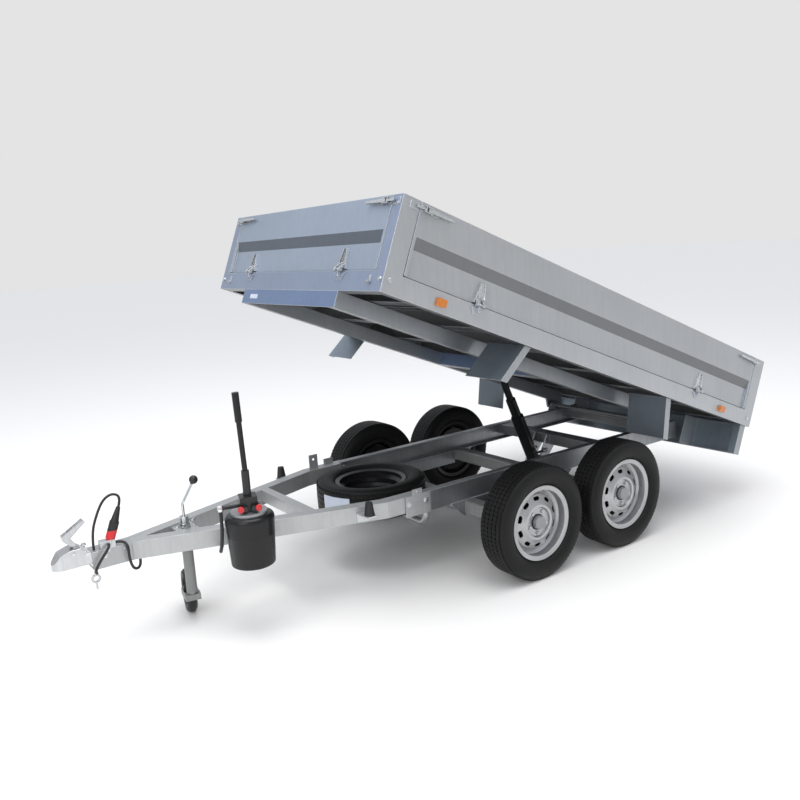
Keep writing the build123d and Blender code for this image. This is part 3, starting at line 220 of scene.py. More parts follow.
# %% [markdown]
# Some effects come back in many finishes, so each is a shader node group: the crystals that molten
# zinc leaves on steel, the soft edge of a bent or cut sheet with the mask for its painted highlight, the
# painted shade of faces that look down and the painted reflection tint of faces that look forward, the
# thin dust near the ground, and a mask that starts at a height. A group hands out colours, masks and
# normals, and the shader itself stays in each material.

# %% The zinc crystals
cloud_share = 0.65
contrast = 2.6
rough_spread = 0.08


def zinc_spangle_group():
    """Voronoi cells of slightly different greys under a wide cloudy mottling and faint runs."""
    tree, given, result = new_group(
        "zinc_spangle",
        [("Light", "Color", (0.7, 0.71, 0.72, 1)), ("Dark", "Color", (0.4, 0.41, 0.42, 1)),
         ("Cells", "Float", 60.0), ("Clouds", "Float", 2.5), ("Crystal", "Float", 0.4),
         ("Rough", "Float", 0.4)],
        [("Color", "Color"), ("Roughness", "Float"), ("Height", "Float")])
    place = add(tree, "ShaderNodeTexCoord")
    cells = add(tree, "ShaderNodeTexVoronoi")
    clouds = add(tree, "ShaderNodeTexNoise", {"Detail": 5.0, "Roughness": 0.6})
    runs_place = add(tree, "ShaderNodeMapping", {"Scale": (9.0, 9.0, 0.7)})
    runs = add(tree, "ShaderNodeTexNoise", {"Scale": 6.0, "Detail": 3.0})
    split = add(tree, "ShaderNodeSeparateColor")
    wire(tree, (place, "Object", cells, "Vector"), (place, "Object", clouds, "Vector"),
         (place, "Object", runs_place, "Vector"), (runs_place, 0, runs, "Vector"),
         (given, "Cells", cells, "Scale"), (given, "Clouds", clouds, "Scale"), (cells, "Color", split, 0))
    crystal = math(tree, "MULTIPLY", split.outputs[0], given.outputs["Crystal"])
    rest = math(tree, "SUBTRACT", 1.0, given.outputs["Crystal"])
    soft = math(tree, "ADD", math(tree, "MULTIPLY", clouds.outputs["Fac"], cloud_share),
                math(tree, "MULTIPLY", runs.outputs["Fac"], 1 - cloud_share))
    wide = math(tree, "MULTIPLY", math(tree, "MULTIPLY_ADD", soft, contrast, (1 - contrast) / 2), rest)
    mask = math(tree, "ADD", crystal, wide, clamp=True)
    colour = mix_colour(tree, mask, given.outputs["Dark"], given.outputs["Light"])
    rough = math(tree, "ADD", given.outputs["Rough"],
                 math(tree, "MULTIPLY", math(tree, "SUBTRACT", split.outputs[1], 0.5), rough_spread))
    wire(tree, (colour, result, "Color"), (rough, result, "Roughness"), (clouds, "Fac", result, "Height"))
    return tree


zinc_spangle = zinc_spangle_group()

# %% The soft edge, and the mask for its painted highlight


def soft_edge_group():
    """A rounded normal near edges, and a mask of where that rounding is."""
    tree, given, result = new_group("soft_edge", [("Radius", "Float", 0.003)],
                                    [("Normal", "Vector"), ("Edge", "Float")])
    bevel = add(tree, "ShaderNodeBevel", samples=4)
    flat = add(tree, "ShaderNodeNewGeometry")
    dot = add(tree, "ShaderNodeVectorMath", operation="DOT_PRODUCT")
    wire(tree, (given, "Radius", bevel, "Radius"), (bevel, 0, dot, 0), (flat, "Normal", dot, 1),
         (bevel, 0, result, "Normal"))
    edge = math(tree, "MULTIPLY", math(tree, "SUBTRACT", 1.0, dot.outputs["Value"]), 4.0, clamp=True)
    wire(tree, (edge, result, "Edge"))
    return tree


soft_edge = soft_edge_group()

# %% Painted shade and painted reflection tint on faces that look one way


def painted_light_by_facing_group():
    """Painted light: multiplies the colour of faces that look towards a direction by a second tone."""
    tree, given, result = new_group(
        "painted_light_by_facing",
        [("Color", "Color", (0.5, 0.5, 0.5, 1)), ("Tone", "Color", (0.5, 0.5, 0.5, 1)),
         ("Towards", "Vector", (0, 0, -1)), ("Reach", "Float", 4.0), ("Start", "Float", 0.0)],
        [("Color", "Color")])
    facing = add(tree, "ShaderNodeNewGeometry")
    dot = add(tree, "ShaderNodeVectorMath", operation="DOT_PRODUCT")
    wire(tree, (facing, "Normal", dot, 0), (given, "Towards", dot, 1))
    past_start = math(tree, "SUBTRACT", dot.outputs["Value"], given.outputs["Start"])
    share = math(tree, "MULTIPLY", past_start, given.outputs["Reach"], clamp=True)
    toned = add(tree, "ShaderNodeMix", data_type="RGBA", blend_type="MULTIPLY")
    wire(tree, (share, toned, 0), (given, "Color", toned, 6), (given, "Tone", toned, 7),
         (toned, 2, result, "Color"))
    return tree


painted_light_by_facing = painted_light_by_facing_group()

# %% A mask that starts at a height


def above_height_group():
    """One above a height of the piece and zero below it."""
    tree, given, result = new_group("above_height", [("Height", "Float", 0.5)], [("Mask", "Float")])
    place = add(tree, "ShaderNodeTexCoord")
    split = add(tree, "ShaderNodeSeparateXYZ")
    wire(tree, (place, "Object", split, 0))
    wire(tree, (math(tree, "GREATER_THAN", split.outputs[2], given.outputs["Height"]), result, "Mask"))
    return tree


above_height = above_height_group()

# %% The dust near the ground


def road_dust_group():
    """Pale broken dust that fades out with height."""
    tree, given, result = new_group(
        "road_dust",
        [("Color", "Color", (0.1, 0.1, 0.1, 1)), ("Dust", "Color", (0.32, 0.29, 0.25, 1)),
         ("Top", "Float", 0.4), ("Amount", "Float", 0.3)],
        [("Color", "Color"), ("Mask", "Float")])
    place = add(tree, "ShaderNodeTexCoord")
    split = add(tree, "ShaderNodeSeparateXYZ")
    specks = add(tree, "ShaderNodeTexNoise", {"Scale": 28.0, "Detail": 8.0, "Roughness": 0.7})
    wire(tree, (place, "Object", split, 0), (place, "Object", specks, "Vector"))
    share_of_top = math(tree, "DIVIDE", split.outputs[2], given.outputs["Top"])
    low = math(tree, "SUBTRACT", 1.0, share_of_top, clamp=True)
    broken = math(tree, "MULTIPLY", low, math(tree, "MULTIPLY", specks.outputs["Fac"], 1.6))
    mask = math(tree, "MULTIPLY", broken, given.outputs["Amount"], clamp=True)
    dusty = mix_colour(tree, mask, given.outputs["Color"], given.outputs["Dust"])
    wire(tree, (dusty, result, "Color"), (mask, result, "Mask"))
    return tree


road_dust = road_dust_group()

# %% [markdown]
# Each finish is a material that takes its colour from a group and keeps its own shader. The trailer
# has several zincs: the dull hot-dip coat of the drawbar, the smoother sheet of the boards, the darker
# rails, a still darker zinc on the undersides that is painted shade, and the bright plate of hinges and
# latches.

# %% Materials


def finish_material(name, metallic=0.0, coat=0.0):
    """A material with one Principled shader, and its tree."""
    material = bpy.data.materials.new(name)
    material.use_nodes = True
    tree = material.node_tree
    shader = tree.nodes["Principled BSDF"]
    shader.inputs["Metallic"].default_value = metallic
    shader.inputs["Coat Weight"].default_value = coat
    return material, tree, shader


def use_group(tree, group, values):
    """A group node in a material, with its values."""
    node = add(tree, "ShaderNodeGroup", node_tree=group)
    for key, value in values.items():
        node.inputs[key].default_value = value
    return node


def bump_over(tree, shader, height, distance, normal, strength=0.4):
    """A bump on top of a softened normal."""
    bump = add(tree, "ShaderNodeBump", {"Strength": strength, "Distance": distance})
    wire(tree, (height, bump, "Height"), (normal, bump, "Normal"), (bump, 0, shader, "Normal"))


# The bed stands tipped in the CAD model, so the painted shade and painted reflection tint of its finishes
# use its own down and front.
bed_tilt = radians(21.57)
bed_down = (0, -sin(bed_tilt), -cos(bed_tilt))
bed_front = (0, -cos(bed_tilt), sin(bed_tilt))
chassis_down = (0, 0, -1)
# The pale colour of the painted highlight on zinc edges.
painted_highlight_colour = (0.80, 0.82, 0.84, 1)


def zinc(name, light, dark, cells, crystal, rough, metallic, edge_radius=0.003, edge_light=0.5,
         down=chassis_down, shade=0.45, front=(1.0, 1.0, 1.0)):
    """Galvanised zinc: painted shade facing down, a painted reflection tint in front, painted edge
    highlights.
    """
    material, tree, shader = finish_material(name, metallic)
    spangle = use_group(tree, zinc_spangle, {"Light": (*light, 1), "Dark": (*dark, 1), "Cells": cells,
                                             "Crystal": crystal, "Rough": rough})
    edges = use_group(tree, soft_edge, {"Radius": edge_radius})
    # Painted shade darkens faces that look down, and a painted reflection tint colours faces that look
    # forward.
    below = use_group(tree, painted_light_by_facing, {"Towards": down, "Tone": (shade, shade, shade, 1)})
    painted_reflection_tint = use_group(tree, painted_light_by_facing, {"Towards": bed_front, "Tone": (*front, 1), "Start": 0.6})
    # Painted highlight: the edges are mixed towards a pale colour.
    edge_with_painted_highlight = mix_colour(tree, math(tree, "MULTIPLY", edges.outputs["Edge"], edge_light),
                      painted_reflection_tint.outputs["Color"], painted_highlight_colour)
    wire(tree, (spangle, "Color", below, "Color"), (below, "Color", painted_reflection_tint, "Color"),
         (edge_with_painted_highlight, shader, "Base Color"), (spangle, "Roughness", shader, "Roughness"))
    bump_over(tree, shader, spangle.outputs["Height"], 0.0006, edges.outputs["Normal"], 0.08)
    return material


def plain_coat(name, colour, second, scale, rough, metallic=0.0, coat=0.0, edge_radius=0.002, grain=0.0004,
               dust_top=0.0, dust_amount=0.0, edge_light=0.0, shine=0.5):
    """Paint, rubber or plastic: two close tones in a fine grain, soft edges with a painted highlight, and
    dust near the ground.
    """
    material, tree, shader = finish_material(name, metallic, coat)
    shader.inputs["Specular IOR Level"].default_value = shine
    place = add(tree, "ShaderNodeTexCoord")
    noise = add(tree, "ShaderNodeTexNoise", {"Scale": scale, "Detail": 6.0, "Roughness": 0.65})
    wire(tree, (place, "Object", noise, "Vector"))
    edges = use_group(tree, soft_edge, {"Radius": edge_radius})
    tone = mix_colour(tree, noise.outputs["Fac"], (*colour, 1), (*second, 1))
    # Painted highlight: the edges are mixed towards mid grey as much as edge_light asks.
    tone = mix_colour(tree, math(tree, "MULTIPLY", edges.outputs["Edge"], edge_light), tone,
                      (0.5, 0.5, 0.5, 1))
    mask = noise.outputs["Fac"]
    if dust_amount:
        dust = use_group(tree, road_dust, {"Top": dust_top, "Amount": dust_amount})
        wire(tree, (tone, dust, "Color"))
        tone = dust.outputs["Color"]
        mask = math(tree, "ADD", noise.outputs["Fac"], dust.outputs["Mask"])
    value = math(tree, "MULTIPLY_ADD", mask, 0.22, rough - 0.11)
    wire(tree, (tone, shader, "Base Color"), (value, shader, "Roughness"))
    bump_over(tree, shader, noise.outputs["Fac"], grain, edges.outputs["Normal"])
    return material


dull_zinc = zinc("dull_zinc", (0.50, 0.51, 0.51), (0.38, 0.39, 0.39),
                 cells=90, crystal=0.12, rough=0.42, metallic=0.60)
sheet_zinc = zinc("sheet_zinc", (0.47, 0.485, 0.50), (0.40, 0.415, 0.43),
                  cells=150, crystal=0.06, rough=0.40, metallic=0.65,
                  edge_radius=0.004, edge_light=0.8, down=bed_down, shade=0.35, front=(0.80, 0.90, 1.06))
post_zinc = zinc("post_zinc", (0.50, 0.515, 0.53), (0.42, 0.435, 0.45),
                 cells=150, crystal=0.06, rough=0.36, metallic=0.70,
                 edge_radius=0.004, edge_light=1.0, down=bed_down, shade=0.35, front=(0.66, 0.76, 0.98))
flap_zinc = zinc("flap_zinc", (0.40, 0.42, 0.43), (0.31, 0.33, 0.34),
                 cells=60, crystal=0.05, rough=0.38, metallic=0.70,
                 edge_light=0.8, down=bed_down, shade=0.5, front=(0.82, 0.92, 1.04))
beam_zinc = zinc("beam_zinc", (0.38, 0.40, 0.42), (0.31, 0.33, 0.35),
                 cells=60, crystal=0.05, rough=0.36, metallic=0.75,
                 edge_light=0.8, down=bed_down, shade=0.4, front=(0.62, 0.80, 1.20))
dark_zinc = zinc("dark_zinc", (0.36, 0.375, 0.39), (0.22, 0.23, 0.24),
                 cells=40, crystal=0.04, rough=0.34, metallic=0.75,
                 edge_radius=0.005, edge_light=1.0)
# The undersides' zinc is darker than the same sheet above: painted shade.
under_zinc_painted_shade = zinc("under_zinc_painted_shade", (0.24, 0.245, 0.25), (0.16, 0.165, 0.17),
                  cells=40, crystal=0.04, rough=0.36, metallic=0.70,
                  edge_light=0.8, down=bed_down, shade=0.3)
bright_zinc = zinc("bright_zinc", (0.72, 0.74, 0.75), (0.50, 0.52, 0.54),
                   cells=120, crystal=0.05, rough=0.26, metallic=0.85,
                   edge_radius=0.0015, edge_light=0.4)
cast_zinc = zinc("cast_zinc", (0.66, 0.67, 0.68), (0.36, 0.37, 0.38),
                 cells=30, crystal=0.03, rough=0.22, metallic=0.90,
                 edge_radius=0.005, edge_light=0.8)
leg_zinc = zinc("leg_zinc", (0.27, 0.275, 0.27), (0.19, 0.195, 0.19),
                cells=60, crystal=0.12, rough=0.48, metallic=0.35)
tyre_rubber = plain_coat("tyre_rubber", (0.006, 0.006, 0.006), (0.010, 0.010, 0.010),
                         scale=90, rough=0.52, grain=0.0008, dust_top=0.10, dust_amount=0.06, shine=0.22)
soft_rubber = plain_coat("soft_rubber", (0.010, 0.010, 0.011), (0.018, 0.018, 0.018), scale=140, rough=0.50)
black_paint = plain_coat("black_paint", (0.005, 0.005, 0.006), (0.010, 0.010, 0.011),
                         scale=60, rough=0.32, coat=0.1, edge_light=0.05, shine=0.3)
black_plastic = plain_coat("black_plastic", (0.009, 0.009, 0.010), (0.016, 0.016, 0.017),
                           scale=300, rough=0.42)
red_plastic = plain_coat("red_plastic", (0.62, 0.02, 0.025), (0.50, 0.015, 0.02),
                         scale=120, rough=0.32, coat=0.2)
cap_grey = plain_coat("cap_grey", (0.30, 0.30, 0.31), (0.26, 0.26, 0.27),
                      scale=160, rough=0.35, metallic=0.3, coat=0.1)
chrome_plate = plain_coat("chrome_plate", (0.80, 0.80, 0.81), (0.74, 0.75, 0.76),
                          scale=40, rough=0.16, metallic=1.0, grain=0.0001)
pale_label = plain_coat("pale_label", (0.60, 0.64, 0.70), (0.46, 0.52, 0.66), scale=18, rough=0.45)
studio_grey = plain_coat("studio_grey", (0.93, 0.915, 0.895), (0.94, 0.925, 0.905),
                         scale=0.3, rough=0.85, edge_radius=0.0, grain=0.0)


def rim_paint(name, colour, inner_painted_shade, width):
    """Silver paint on a wheel's outer side, painted edge highlights, and painted shade within this half
    width.
    """
    material, tree, shader = finish_material(name, 0.75, 0.2)
    place = add(tree, "ShaderNodeTexCoord")
    split = add(tree, "ShaderNodeSeparateXYZ")
    grain = add(tree, "ShaderNodeTexNoise", {"Scale": 220.0, "Detail": 5.0})
    clouds = add(tree, "ShaderNodeTexNoise", {"Scale": 9.0, "Detail": 4.0})
    edges = use_group(tree, soft_edge, {"Radius": 0.003})
    wire(tree, (place, "Object", split, 0), (place, "Object", grain, "Vector"),
         (place, "Object", clouds, "Vector"))
    tone = mix_colour(tree, clouds.outputs["Fac"], (*[0.72 * part for part in colour], 1), (*colour, 1))
    # Painted highlight: the edges are mixed towards a pale silver.
    tone = mix_colour(tree, math(tree, "MULTIPLY", edges.outputs["Edge"], 0.7), tone, (0.86, 0.86, 0.87, 1))
    # Painted shade: near black on all that lies within the half width, the wheel's inner parts seen through
    # its slots.
    inside = math(tree, "LESS_THAN", math(tree, "ABSOLUTE", split.outputs[0]), width)
    tone = mix_colour(tree, inside, tone, (*inner_painted_shade, 1))
    wire(tree, (tone, shader, "Base Color"),
         (math(tree, "MULTIPLY_ADD", grain.outputs["Fac"], 0.16, 0.22), shader, "Roughness"))
    bump_over(tree, shader, grain.outputs["Fac"], 0.0002, edges.outputs["Normal"])
    return material


# The rims are near black inboard of 0.68 m from the trailer's middle: painted shade on the wheels' inner
# parts.
rim_silver = rim_paint("rim_silver", (0.50, 0.50, 0.51), (0.02, 0.02, 0.02), 0.680)


def banded(name, rows):
    """A finish that changes with height: rows of (height from which it holds, colour, metal, rough)."""
    material, tree, shader = finish_material(name)
    (_, colour, metal, rough), *upper = rows
    lower_metal, lower_rough = metal, rough
    edges = use_group(tree, soft_edge, {"Radius": 0.0015})
    place = add(tree, "ShaderNodeTexCoord")
    grain = add(tree, "ShaderNodeTexNoise", {"Scale": 90.0, "Detail": 5.0})
    wire(tree, (place, "Object", grain, "Vector"))
    tone = mix_colour(tree, grain.outputs["Fac"], (*[0.85 * part for part in colour], 1), (*colour, 1))
    for height, colour, upper_metal, upper_rough in upper:
        mask = use_group(tree, above_height, {"Height": height}).outputs["Mask"]
        tone = mix_colour(tree, mask, tone, (*colour, 1))
        metal = math(tree, "ADD", metal, math(tree, "MULTIPLY", mask, upper_metal - lower_metal))
        rough = math(tree, "ADD", rough, math(tree, "MULTIPLY", mask, upper_rough - lower_rough))
        lower_metal, lower_rough = upper_metal, upper_rough
    wire(tree, (tone, shader, "Base Color"), (metal, shader, "Metallic"), (rough, shader, "Roughness"))
    bump_over(tree, shader, grain.outputs["Fac"], 0.0003, edges.outputs["Normal"])
    return material


leg_grey = (0.25, 0.255, 0.25)
near_black = (0.010, 0.010, 0.011)
signal_red = (0.60, 0.02, 0.025)
plate_zinc = (0.62, 0.64, 0.65)
dull_plate = (0.36, 0.37, 0.38)
jockey_finish = banded("jockey_finish", [(0, leg_grey, 0.35, 0.45), (0.452, plate_zinc, 1.0, 0.20),
                                         (0.668, near_black, 0.0, 0.35)])
plug_finish = banded("plug_finish", [(0, plate_zinc, 0.8, 0.35), (0.4925, signal_red, 0.0, 0.35),
                                     (0.530, near_black, 0.0, 0.45)])
stop_finish = banded("stop_finish", [(0, plate_zinc, 0.7, 0.40), (0.4315, near_black, 0.0, 0.55)])
pump_finish = banded("pump_finish", [(0, near_black, 0.0, 0.34), (0.5482, dull_plate, 0.7, 0.40),
                                     (0.5605, near_black, 0.0, 0.34)])
floor.data.materials.append(studio_grey)


def lens_material(name, colour):
    """A lamp lens: glossy tinted plastic with fine ribs."""
    material, tree, shader = finish_material(name, coat=0.6)
    place = add(tree, "ShaderNodeTexCoord")
    ribs = add(tree, "ShaderNodeTexWave", {"Scale": 55.0, "Distortion": 0.0}, bands_direction="Y")
    wire(tree, (place, "Object", ribs, "Vector"))
    deep = [0.72 * part for part in colour]
    tone = mix_colour(tree, ribs.outputs["Fac"], (*deep, 1), (*colour, 1))
    wire(tree, (tone, shader, "Base Color"))
    shader.inputs["Roughness"].default_value = 0.14
    bump = add(tree, "ShaderNodeBump", {"Strength": 0.5, "Distance": 0.001})
    wire(tree, (ribs, "Fac", bump, "Height"), (bump, 0, shader, "Normal"))
    return material


amber_lens = lens_material("amber_lens", (0.66, 0.19, 0.006))
red_lens = lens_material("red_lens", (0.70, 0.015, 0.02))

# %% [markdown]
# The CAD nodes keep their shapes and only take a finish. A short table says which finish goes where,
# by the ending or the whole name of the node, and the first row that fits wins.

# %% Finishes on the CAD nodes
finish_rows = [
    ("light_board", flap_zinc), ("_board", sheet_zinc), ("_fittings", bright_zinc),
    ("spare_tyre", tyre_rubber), ("_tyre", tyre_rubber), ("spare_rim", black_paint), ("_rim", rim_silver),
    ("bed_frame", post_zinc), ("bed_floor", under_zinc_painted_shade), ("bed_ribs", under_zinc_painted_shade),
    ("subframe", beam_zinc), ("mud_flaps", flap_zinc),
    ("main_rail_left", dark_zinc), ("main_rail_right", dark_zinc),
    ("front_axle", leg_zinc), ("rear_axle", leg_zinc), ("ram_member", dark_zinc), ("pivot_beam", dark_zinc),
    ("coupling_body", cast_zinc), ("coupling_lever", cast_zinc), ("safety_hook", cast_zinc),
    ("lead_plug", plug_finish), ("plug_lead", soft_rubber), ("hydraulic_hose", soft_rubber),
    ("jockey_post", jockey_finish), ("jockey_fork", leg_zinc), ("jockey_wheel", soft_rubber),
    ("pump_tank", black_paint), ("pump_head", pump_finish), ("pump_handle", black_paint),
    ("bed_stops", stop_finish), ("ram_barrel", black_paint), ("ram_stage", black_paint),
    ("ram_rod", black_paint), ("rear_lamps", red_lens), ("marker_lamps", amber_lens),
]


def finish_of(name):
    """The finish of a CAD node."""
    for ending, material in finish_rows:
        if name.endswith(ending):
            return material
    return dull_zinc


for name, piece in nodes.items():
    piece.data.materials.clear()
    piece.data.materials.append(finish_of(name))
print("dressed", len(nodes), "CAD nodes")

# %% [markdown]
# The lead to the parked plug, its two tails and the oil hose are fixed lengths of something flexible.
# Each follows one smooth NURBS line whose control points are the route's own, counted from the drawbar's
# nose or from the front axle, because a line through many sampled points would look like bent wire. The
# curve's round bevel gives it its thickness.

# %% Cords
nose_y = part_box("drawbar_nose")[0].y
lead_route = [
    # across, behind the nose's front edge, height
    (0.0140, 0.0150, 0.4583), (0.0140, 0.0150, 0.5300), (0.0180, 0.0470, 0.6150), (0.0210, 0.0790, 0.6680),
    (0.0250, 0.1190, 0.6840), (0.0280, 0.1480, 0.6600), (0.0280, 0.1330, 0.6220),
]
tail_route = [
    (0.0433, 0.0700, 0.4760), (0.0640, 0.0700, 0.4760), (0.0660, 0.0250, 0.4250), (0.0620, -0.0010, 0.3840),
    (0.0400, 0.0120, 0.3600), (0.0093, 0.0120, 0.3600),
]
loop_route = [
    (0.0300, 0.1003, 0.4740), (0.0300, 0.1270, 0.4740), (0.0640, 0.1430, 0.4620), (0.0660, 0.1410, 0.4000),
    (0.0620, 0.1530, 0.3520), (0.0440, 0.1790, 0.3380), (0.0340, 0.1950, 0.3520), (0.0340, 0.1950, 0.3797),
]
hose_route = [
    # across, behind the front axle, height
    (0.276, -1.404, 0.574), (0.276, -1.404, 0.505), (0.268, -1.410, 0.425), (0.214, -1.400, 0.366),
    (0.088, -1.335, 0.366), (0.084, -1.280, 0.374), (0.122, -1.215, 0.388), (0.254, -0.840, 0.388),
    (0.321, -0.640, 0.388), (0.328, -0.430, 0.388), (0.382, -0.260, 0.371), (0.382, 0.500, 0.371),
    (0.345, 0.585, 0.371), (0.250, 0.612, 0.371), (0.128, 0.612, 0.371), (0.070, 0.640, 0.371),
    (0.070, 0.712, 0.371),
]
cord_rows = [
    # name, route, where its second number counts from, radius, real length, end, stiffness, lay, CAD node
    ("lead_cord", lead_route, nose_y, 0.0055, 0.336, "plug", "medium", "loose", "plug_lead"),
    ("tail_cord", tail_route, nose_y, 0.0060, 0.194, "object", "medium", "hanging", "plug_lead"),
    ("loop_cord", loop_route, nose_y, 0.0060, 0.250, "object", "medium", "hanging", "plug_lead"),
    ("oil_hose", hose_route, front_axle_y, 0.0075, 2.680, "object", "stiff", "loose", "hydraulic_hose"),
]


def cord_curve(name, points, radius, material):
    """A round cord on one NURBS line with these control points."""
    curve = bpy.data.curves.new(name, "CURVE")
    curve.dimensions = "3D"
    curve.bevel_depth = radius
    curve.bevel_resolution = 4
    curve.use_fill_caps = True
    curve.resolution_u = 8
    line = curve.splines.new("NURBS")
    line.points.add(len(points) - 1)
    for control, place in zip(line.points, points):
        control.co = (*place, 1)
    line.order_u = 3
    line.use_endpoint_u = True
    curve.materials.append(material)
    return new_object(name, curve)


for name, route, start_y, radius, length, far_end, stiffness, lay, node in cord_rows:
    points = [(x, start_y + y, z) for x, y, z in route]
    piece = cord_curve(name, points, radius, soft_rubber)
    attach(piece, "chassis")
    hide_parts(node)
    print("cord", name, length, "m")

# %% [markdown]
# A wheel's tyre is a lathe shape with a block tread. The carcass is one profile turned round the axle,
# and the tread is a ring of blocks. Geometry Nodes make that ring, because the same tree serves every
# row of blocks with other numbers, and the blocks stay exact copies of each other.

# %% Helpers for meshes


crease_angle = radians(35)
merge_distance = 1e-6
sliver_length = 1e-7


def mesh_object(name, points, faces, material):
    """A mesh object from points and faces, with smooth faces and sharp creases."""
    mesh = bpy.data.meshes.new(name)
    mesh.from_pydata([tuple(p) for p in points], [], faces)
    mesh.validate()
    mesh.materials.append(material)
    mesh.shade_smooth()
    mesh.set_sharp_from_angle(angle=crease_angle)
    return new_object(name, mesh)


def lathe(profile, steps):
    """Points and faces of a closed profile of (radius, height) turned about Z."""
    points = []
    faces = []
    count = len(profile)
    for k in range(steps):
        turn = 2 * pi * k / steps
        for radius, height in profile:
            points.append((radius * cos(turn), radius * sin(turn), height))
    for k in range(steps):
        after = (k + 1) % steps
        for j in range(count):
            beyond = (j + 1) % count
            faces.append((k * count + j, after * count + j, after * count + beyond, k * count + beyond))
    return points, faces


def faces_out(mesh, merge=False):
    """Turns the faces of a closed mesh outwards, after merging doubled points where that is asked."""
    shape = bmesh.new()
    shape.from_mesh(mesh)
    if merge:
        bmesh.ops.remove_doubles(shape, verts=shape.verts, dist=merge_distance)
        bmesh.ops.dissolve_degenerate(shape, dist=sliver_length, edges=shape.edges)
    bmesh.ops.recalc_face_normals(shape, faces=shape.faces)
    shape.to_mesh(mesh)
    shape.free()


def stand_along(piece, place, axis):
    """Moves a shape that was made along Z to its place, with its Z along an axis."""
    turn = Vector((0, 0, 1)).rotation_difference(Vector(axis)).to_matrix().to_4x4()
    piece.data.transform(Matrix.Translation(Vector(place)) @ turn)
    return piece


def join_meshes(name, pieces):
    """One mesh object from several, in the order given."""
    bpy.ops.object.select_all(action="DESELECT")
    for piece in pieces:
        piece.select_set(True)
    bpy.context.view_layer.objects.active = pieces[0]
    bpy.ops.object.join()
    pieces[0].name = name
    pieces[0].data.name = name
    return pieces[0]


def seat(piece, body, slot_name, *replaced):
    """Rides a finished piece on its body and hides the nodes that it stands for; its slot name is not used.
    """
    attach(piece, body)
    if replaced:
        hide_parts(*replaced)
    return piece


# %% The tree for a ring of tread blocks


def tread_ring_tree():
    """Boxes on a circle, each turned to face outwards: the sizes are inputs."""
    tree, given, result = new_group(
        "tread_ring",
        [("Count", "Int"), ("Radius", "Float"), ("Block", "Vector"), ("Height", "Float"),
         ("Slant", "Float"), ("Material", "Material")],
        [("Geometry", "Geometry")], "GeometryNodeTree")
    ring = add(tree, "GeometryNodeMeshCircle")
    block = add(tree, "GeometryNodeMeshCube")
    place = add(tree, "GeometryNodeInputPosition")
    face_out = add(tree, "FunctionNodeAlignRotationToVector", axis="X")
    slant = add(tree, "FunctionNodeRotateRotation", rotation_space="LOCAL")
    slant_turn = add(tree, "FunctionNodeAxisAngleToRotation", {"Axis": (1, 0, 0)})
    copies = add(tree, "GeometryNodeInstanceOnPoints")
    lift = add(tree, "ShaderNodeCombineXYZ")
    moved = add(tree, "GeometryNodeTransform")
    real = add(tree, "GeometryNodeRealizeInstances")
    paint = add(tree, "GeometryNodeSetMaterial")
    wire(tree, (given, "Count", ring, "Vertices"), (given, "Radius", ring, "Radius"),
         (given, "Block", block, "Size"), (place, 0, face_out, "Vector"),
         (given, "Slant", slant_turn, "Angle"), (face_out, 0, slant, "Rotation"),
         (slant_turn, 0, slant, "Rotate By"), (ring, 0, copies, "Points"),
         (block, "Mesh", copies, "Instance"), (slant, 0, copies, "Rotation"), (given, "Height", lift, "Z"),
         (copies, 0, moved, "Geometry"), (lift, 0, moved, "Translation"), (moved, 0, real, 0),
         (real, 0, paint, "Geometry"), (given, "Material", paint, "Material"), (paint, 0, result, 0))
    return tree


def run_tree(tree, name, base_mesh, values):
    """A plain mesh object from a Geometry Nodes tree and its named inputs."""
    holder = new_object(name + "_holder", base_mesh)
    modifier = holder.modifiers.new("nodes", "NODES")
    modifier.node_group = tree
    for item in tree.interface.items_tree:
        if item.item_type == "SOCKET" and item.in_out == "INPUT" and item.name in values:
            modifier[item.identifier] = values[item.name]
    bpy.context.view_layer.update()
    shaped = holder.evaluated_get(bpy.context.evaluated_depsgraph_get())
    mesh = bpy.data.meshes.new_from_object(shaped)
    holder.modifiers.clear()
    bpy.data.objects.remove(holder)
    return new_object(name, mesh)


tread_ring = tread_ring_tree()

# %% Tyres
tyre_radius = 0.2805
tyre_half_width = 0.080
tread_depth = 0.0065
tread_cut = 0.0018
tread_sink = 0.002
carcass_steps = 120
tread_rows = [
    # height of the row, width of its blocks, number of blocks, slant in degrees, drop from the crown
    (-0.0510, 0.0222, 84, 10.0, 0.0012),
    (-0.0255, 0.0222, 84, 16.0, 0.0004),
    (0.0, 0.0222, 84, -16.0, 0.0001),
    (0.0255, 0.0222, 84, 16.0, 0.0004),
    (0.0510, 0.0222, 84, 10.0, 0.0012),
]


def tyre_profile():
    """The tyre's section as (radius, height across), from bead to bead: one half, then its mirror."""
    floor_radius = tyre_radius - tread_depth
    half = [
        (0.1695, 0.0550), (0.1845, 0.0552), (0.1870, 0.0590), (0.1900, 0.0640), (0.1935, 0.0665),
        (0.1955, 0.0705), (0.1990, 0.0728), (0.2010, 0.0728), (0.2030, 0.0745), (0.2150, 0.0785),
        (0.2295, tyre_half_width), (0.2400, 0.0796), (0.2500, 0.0780), (0.2560, 0.0768),
        (0.2580, 0.0748), (0.2640, 0.0728), (0.2700, 0.0690), (0.2735, 0.0655), (floor_radius, 0.0632),
    ]
    mirrored = [(radius, -height) for radius, height in reversed(half)]
    return half + mirrored


